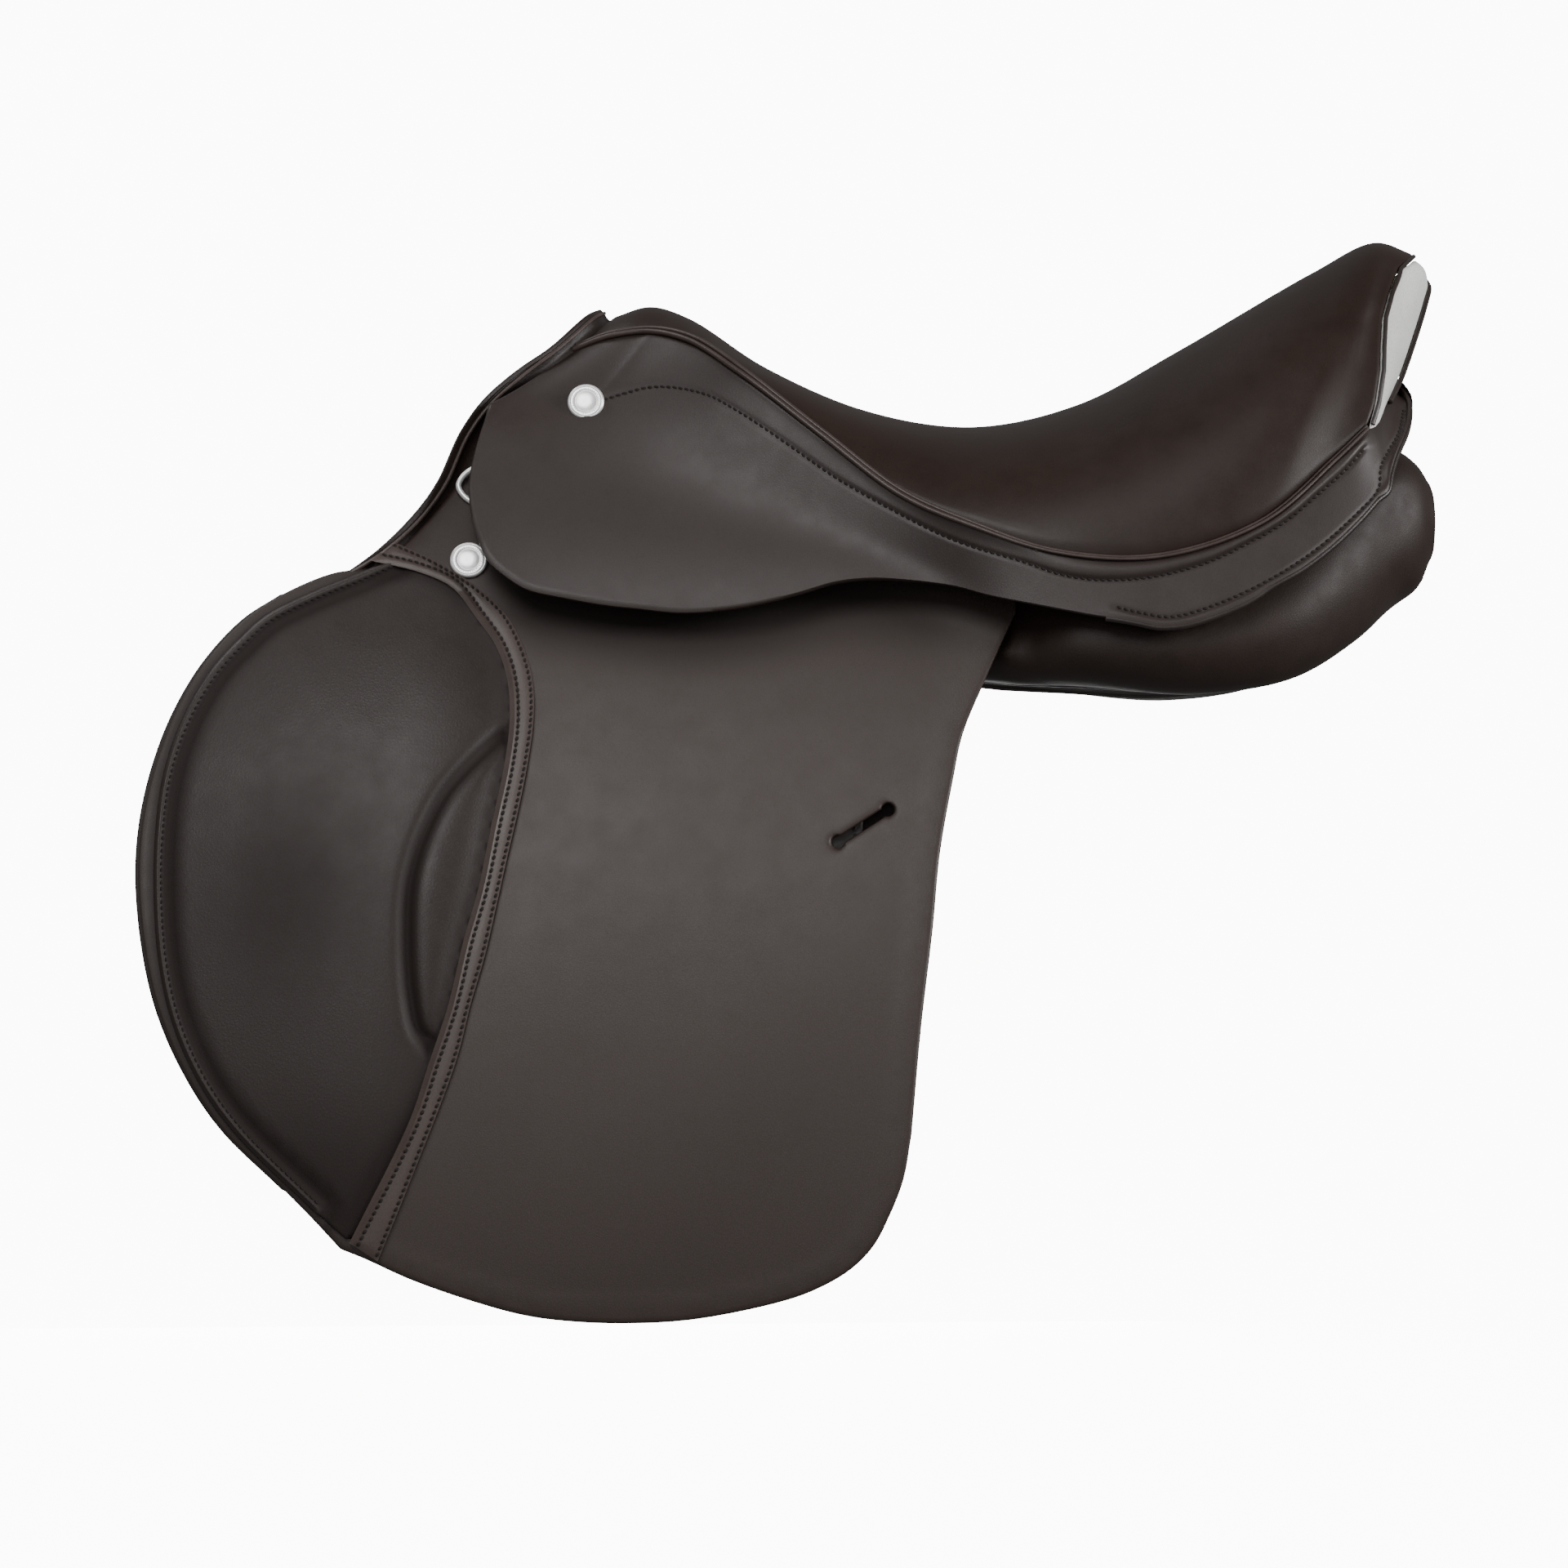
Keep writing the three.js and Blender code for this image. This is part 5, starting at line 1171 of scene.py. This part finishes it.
def flat_leather(s, piece, body, node_name, ring, level, inset, groove, cell=5, rim=0.8, pitch=3.6, holes=(),
                 look=(STRAP, "strap_leather")):
    """A layer at a level from the flap's face, with a row of stitches in a groove round its edge."""
    row = seam_loop(ring, inset)
    depth, width = groove

    def front(p):
        return flap_face(p[:, 1]) + level - depth * bell(away(p, ring, True) - inset, width)

    skin = Skin()
    back = off_face(level - LINING_LEATHER)
    bvh = sheet(skin, ring, front, back, cell, rim, [(row, (0,))], holes, 0, 1)
    sew_on(skin, bvh, row[2:-2], 2, pitch=pitch)
    skin.make(piece, body, [look[0], EDGE, THREAD], s, [node_name], 50)


def under_pieces(name, s):
    flat_leather(s, f"sweat_flap_leather_{name}", "saddle", f"sweat_flap_{name}", SWEAT_RING, SWEAT_OUT, 5.0,
                 (0.35, 1.3), 7, 1.0, 4.0, look=(LINING, "lining_leather"))
    for k, place in enumerate(("front", "middle", "rear")):
        x0 = BILLET_FRONT + BILLET_PITCH * k
        a = np.linspace(0, 2 * math.pi, 16, endpoint=False)
        hole = HOLE_RADIUS * np.stack([np.cos(a), np.sin(a)], 1)
        holes = [hole + (x0 + BILLET_WIDTH / 2, BILLET_END + FIRST_HOLE + HOLE_PITCH * h) for h in range(HOLES)]
        billet = f"billet_{place}_{name}"
        ring = rounded(x0, x0 + BILLET_WIDTH, BILLET_END, BILLET_TOP, 5)
        flat_leather(s, f"girth_strap_{place}_{name}", billet, billet, ring, BILLET_OUT, 3.0, (0.3, 1.0),
                     holes=holes)
    x0 = BILLET_FRONT - (GUARD_WIDTH - 2 * BILLET_PITCH - BILLET_WIDTH) / 2
    guard = f"buckle_guard_{name}"
    flat_leather(s, f"buckle_guard_leather_{name}", guard, guard,
                 rounded(x0, x0 + GUARD_WIDTH, GUARD_END, GUARD_TOP, 9), GUARD_OUT, 4.0, (0.3, 1.1))

    ring = loop(smooth([(-234, -40), (-252, -54), (-272, -88), (-277, -140), (-270, -184), (-256, -180),
                        (-243, -120), (-232, -60), (-234, -40)], 2.5))[:-1]
    skin = Skin()
    sheet(skin, ring, off_face(-FLAP_LEATHER - GAP), off_face(SWEAT_OUT + PLY), 6, 2.2)
    o = skin.make(f"knee_block_foam_{name}", f"flap_{name}", [PAD], s, [f"knee_block_{name}"], 60)


# ---------------------------------------------------------------- metalwork
def facing_axis(face, x, z, lift=0.0):
    lean = float(face(z + 4) - face(z - 4)) / 8
    n = unit(vec(0, 1, -lean))
    return np.array((x, float(face(z)), z)) + n * lift, n


NAIL_SIDES = 64
# How far each nail head is lifted, leant towards upright and slid.
NAIL_SET = {"upper": (2.7, 1.5, vec(0, 1.0, -2.0)), "lower": (1.3, 0.8, vec(0, 0, 0))}
# Radius and height round its axis, from the middle of its face to the end of its shank.
NAIL_PROFILE = [(0, 2.55), (1.6, 2.56), (5.2, 2.58), (5.55, 2.42), (5.8, 2.42), (6.1, 2.6), (7.4, 2.55),
                (8.1, 2.5), (8.35, 2.3), (8.55, 2.3), (8.8, 2.42), (9.15, 2.2), (9.42, 1.7), (9.5, 1.0),
                (9.42, 0.4), (9.1, 0.05), (7, 0.0), (1.6, 0.0), (1.6, -11.5), (0.8, -12), (0, -12)]


def nail(name, s, place):
    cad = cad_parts[f"nail_{place}_{name}"]
    co = np.array([tuple(v.co) for v in cad.data.vertices]) * 1000 * (1, s, 1)
    # The head's flat rim ring gives the place and the direction.
    centre = co.mean(0)
    axes = np.linalg.svd(co - centre)[2]
    n = axes[0]
    for a in axes:
        h = (co - centre) @ a
        far = co - np.outer(h, a)
        rad = np.linalg.norm(far - far.mean(0), axis=1)
        if rad[np.abs(h - h.max()) < 0.05].max() < 0.5 and rad[np.abs(h - h.min()) < 0.05].max() < 0.5:
            n = a
    n = n if n[1] > 0 else -n
    h = (co - centre) @ n
    ring = co[(np.linalg.norm((co - centre) - np.outer(h, n), axis=1) > 9.0)]
    lift, lean, slide = NAIL_SET[place]
    base = ring.mean(0) + n * lift + slide
    # The head is bedded so that its face stands nearer upright than the leather under it.
    n = unit(n + vec(0, lean, 0))
    x = unit(np.cross(n, vec(0.0, 0.0, 1.0)))
    y = np.cross(n, x)
    a = np.linspace(0, 2 * math.pi, NAIL_SIDES, endpoint=False)[:, None]
    v = [base + n * h + r * (np.cos(a) * x + np.sin(a) * y) for r, h in NAIL_PROFILE[1:-1]]
    v += [base + n * NAIL_PROFILE[0][1], base + n * NAIL_PROFILE[-1][1]]
    rows = len(NAIL_PROFILE) - 2
    skin = Skin()
    skin.add(np.vstack(v), grid_faces(rows, NAIL_SIDES, wrap=True) + end_fans(rows, NAIL_SIDES))
    # A plain beaded ring round the face.
    for k in range(36):
        b = k * math.pi / 18
        q = base + n * 2.56 + 6.75 * (math.cos(b) * x + math.sin(b) * y)
        dot = []
        for lat, rr in ((0.0, 0.42), (0.8, 0.28)):
            dot += [q + n * (0.26 * math.sin(lat)) + rr * (math.cos(c) * x + math.sin(c) * y)
                    for c in np.arange(6) * math.pi / 3]
        dot.append(q + n * 0.28)
        turn = [(j, (j + 1) % 6) for j in range(6)]
        skin.add(dot, [[i, j, 6 + j, 6 + i] for i, j in turn] + [[6 + i, 6 + j, 12] for i, j in turn])
    skin.make(f"nail_head_{place}_{name}", "saddle", [CHROME], s,
              [f"nail_{place}_{name}"], 35)


def dee(name, s):
    c, n = facing_axis(flap_face, -237, 92, GAP + 1.6 + 1.15)
    x = vec(1.0, 0.0, 0.0)
    n = unit(n + vec(0, 0.45, 0))
    y = np.cross(n, x)
    y = y if y[2] > 0 else -y
    h = 13.5
    upper = [(0, h - 3), (-0.8, h - 0.9), (-3, h), (-6, h - 0.4), (-14, h * 0.68), (-18.6, h * 0.36)]
    lower = [(a, -b) for a, b in upper]
    bow = [lower[0], (0, 0), *upper, (-20.6, 0), *lower[:0:-1]]
    ring = closed_smooth(bow, 90)
    path = c + ring[:, :1] * x + ring[:, 1:] * y
    skin = Skin()
    tube(skin, path, 1.5, 12, 0, closed=True, up=np.tile(n, (len(path), 1)))
    skin.make(f"dee_ring_{name}", f"dee_{name}", [CHROME], s, [f"dee_{name}"])
    # The leather loop that holds it.
    ring = rounded(-241, -214, 85.5, 98.5, 3, 1.5)
    skin = Skin()

    def front(p):
        return flap_face(p[:, 1]) + 2.2 + 3.1 * bell(p[:, 0] + 237, 3.4)

    bvh = sheet(skin, ring, front, off_face(0.2), 2.2, 0.7, edge_mat=1)
    for z in (88, 96):
        sew_on(skin, bvh, np.array([(-229.0, z), (-217, z)]), 2, pitch=3.0)
    skin.make(f"dee_loop_leather_{name}", "saddle", [STRAP, EDGE, THREAD], s,
              [f"dee_chape_{name}"], 50)


def carried(node_name, mat, bevel=0.0006):
    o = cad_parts[node_name]
    if o.hide_render:
        return
    o.data.materials.clear()
    o.data.materials.append(mat)
    if bevel:
        b = o.modifiers.new("edge", "BEVEL")
        b.width = bevel
        b.segments = 2
        b.limit_method = "ANGLE"
        b.angle_limit = math.radians(35)


def webs():
    path = [(-143, 0, 136), (-100, 0, 128), (-47, 0, 109), (10, 0, 102), (65, 0, 112), (117, 0, 132),
            (202, 0, 172)]
    t = np.linspace(0, 1, 260)
    p = through(path)(t)
    rib = 0.25 * np.sin(np.arange(len(t)) * 1.1)
    g = np.stack([p + vec(0, w, 0) + vec(0, 0, 1.0) * (1 + rib + (0.2 if k % 4 == 0 else 0))[:, None]
                  for k, w in enumerate(np.linspace(-27, 27, 28))], 0)
    grid_piece("seat_web_strap", WEBBING, g, 1.8, (0, 0, 1), "seat_web")
    y = np.linspace(-64, 64, 130)
    z = 89.9 + 2 * (1 - np.abs(y) / 64) + 0.2 * np.sin(np.arange(130) * 1.2)
    g = np.stack([np.stack([np.full(130, 30 + w), y, z + 1.0], 1) for w in np.linspace(-27, 27, 24)], 0)
    grid_piece("cross_web_strap", WEBBING, g, 1.6, (0, 0, 1), "cross_web")


# ---------------------------------------------------------------- assembly
for side_name, sign in SIDES:
    side_leathers(side_name, sign)
    skirt(side_name, sign)
    welts(side_name, sign)
    panel(side_name, sign)
    under_pieces(side_name, sign)
    for place in ("upper", "lower"):
        nail(side_name, sign, place)
    dee(side_name, sign)
    for n in ("stirrup_bar", "bar_catch", "bar_rivet_front", "bar_rivet_rear"):
        carried(f"{n}_{side_name}", STEEL)
    carried(f"spring_steel_{side_name}", SPRING)
    carried(f"tree_rail_{side_name}", WOOD, 0.0015)
seat()
facing()
cantle()
webs()
for n in ("tree_head", "tree_cantle"):
    carried(n, WOOD, 0.0015)
for n in ("head_plate", "gullet_plate"):
    carried(n, SPRING)

# ---------------------------------------------------------------- stage, light and camera
AIM = Vector((-0.090, 0.0, -0.060))
DISTANCE, LENS = 3.0, 130.2
FLOOR_REACH, FLOOR_HEIGHT, WALL_RADIUS = 9.0, -0.62, 11.0
GLOW, AIR_LIGHT = 11.0, 0.22


def area_light(name, place, size, power, target=AIM):
    data = bpy.data.lights.new(name, "AREA")
    data.shape = "RECTANGLE"
    data.size = data.size_y = size
    data.energy = power
    o = bpy.data.objects.new(name, data)
    o.location = place
    o.rotation_euler = (target - Vector(place)).to_track_quat("-Z", "Y").to_euler()
    bpy.context.scene.collection.objects.link(o)


def stage():
    """A pale floor, and a pale studio wall all round. Neither adds light to the saddle."""
    floor = bpy.data.meshes.new("floor")
    r, z = FLOOR_REACH, FLOOR_HEIGHT
    floor.from_pydata([(-r, -r, z), (r, -r, z), (r, r, z), (-r, r, z)], [], [(0, 1, 2, 3)])
    wall = bpy.data.meshes.new("studio_wall")
    b = bmesh.new()
    bmesh.ops.create_icosphere(b, subdivisions=4, radius=WALL_RADIUS)
    b.to_mesh(wall)
    b.free()
    for mesh in (floor, wall):
        mesh.materials.append(glow("pale_" + mesh.name, GLOW))
        o = bpy.data.objects.new(mesh.name, mesh)
        o.visible_diffuse = o.visible_glossy = o.visible_shadow = False
        bpy.context.scene.collection.objects.link(o)


stage()
world = bpy.data.worlds.new("studio")
world.use_nodes = True
background = world.node_tree.nodes["Background"]
background.inputs["Color"].default_value = (1, 1, 1, 1)
background.inputs["Strength"].default_value = AIR_LIGHT
bpy.context.scene.world = world
area_light("key", (-0.75, -2.4, 1.9), 1.4, 49)
area_light("fill", (-0.3, -2.9, 0.1), 1.4, 9)
area_light("rear_side", (2.7, -1.2, 1.0), 1.0, 80, Vector((0.26, 0, 0.19)))
area_light("far_side", (-0.3, 2.9, -0.35), 1.2, 14)
area_light("high_left", (-1.6, 0.5, 2.2), 1.0, 16, Vector((0.1, 0, 0.1)))

cam = bpy.data.cameras.new("camera")
cam.sensor_width = 36
cam.lens = LENS
camera = bpy.data.objects.new("camera", cam)
camera.location = AIM + Vector((0, -DISTANCE, 0))
camera.rotation_euler = (math.pi / 2, 0, 0)
bpy.context.scene.collection.objects.link(camera)
bpy.context.scene.camera = camera
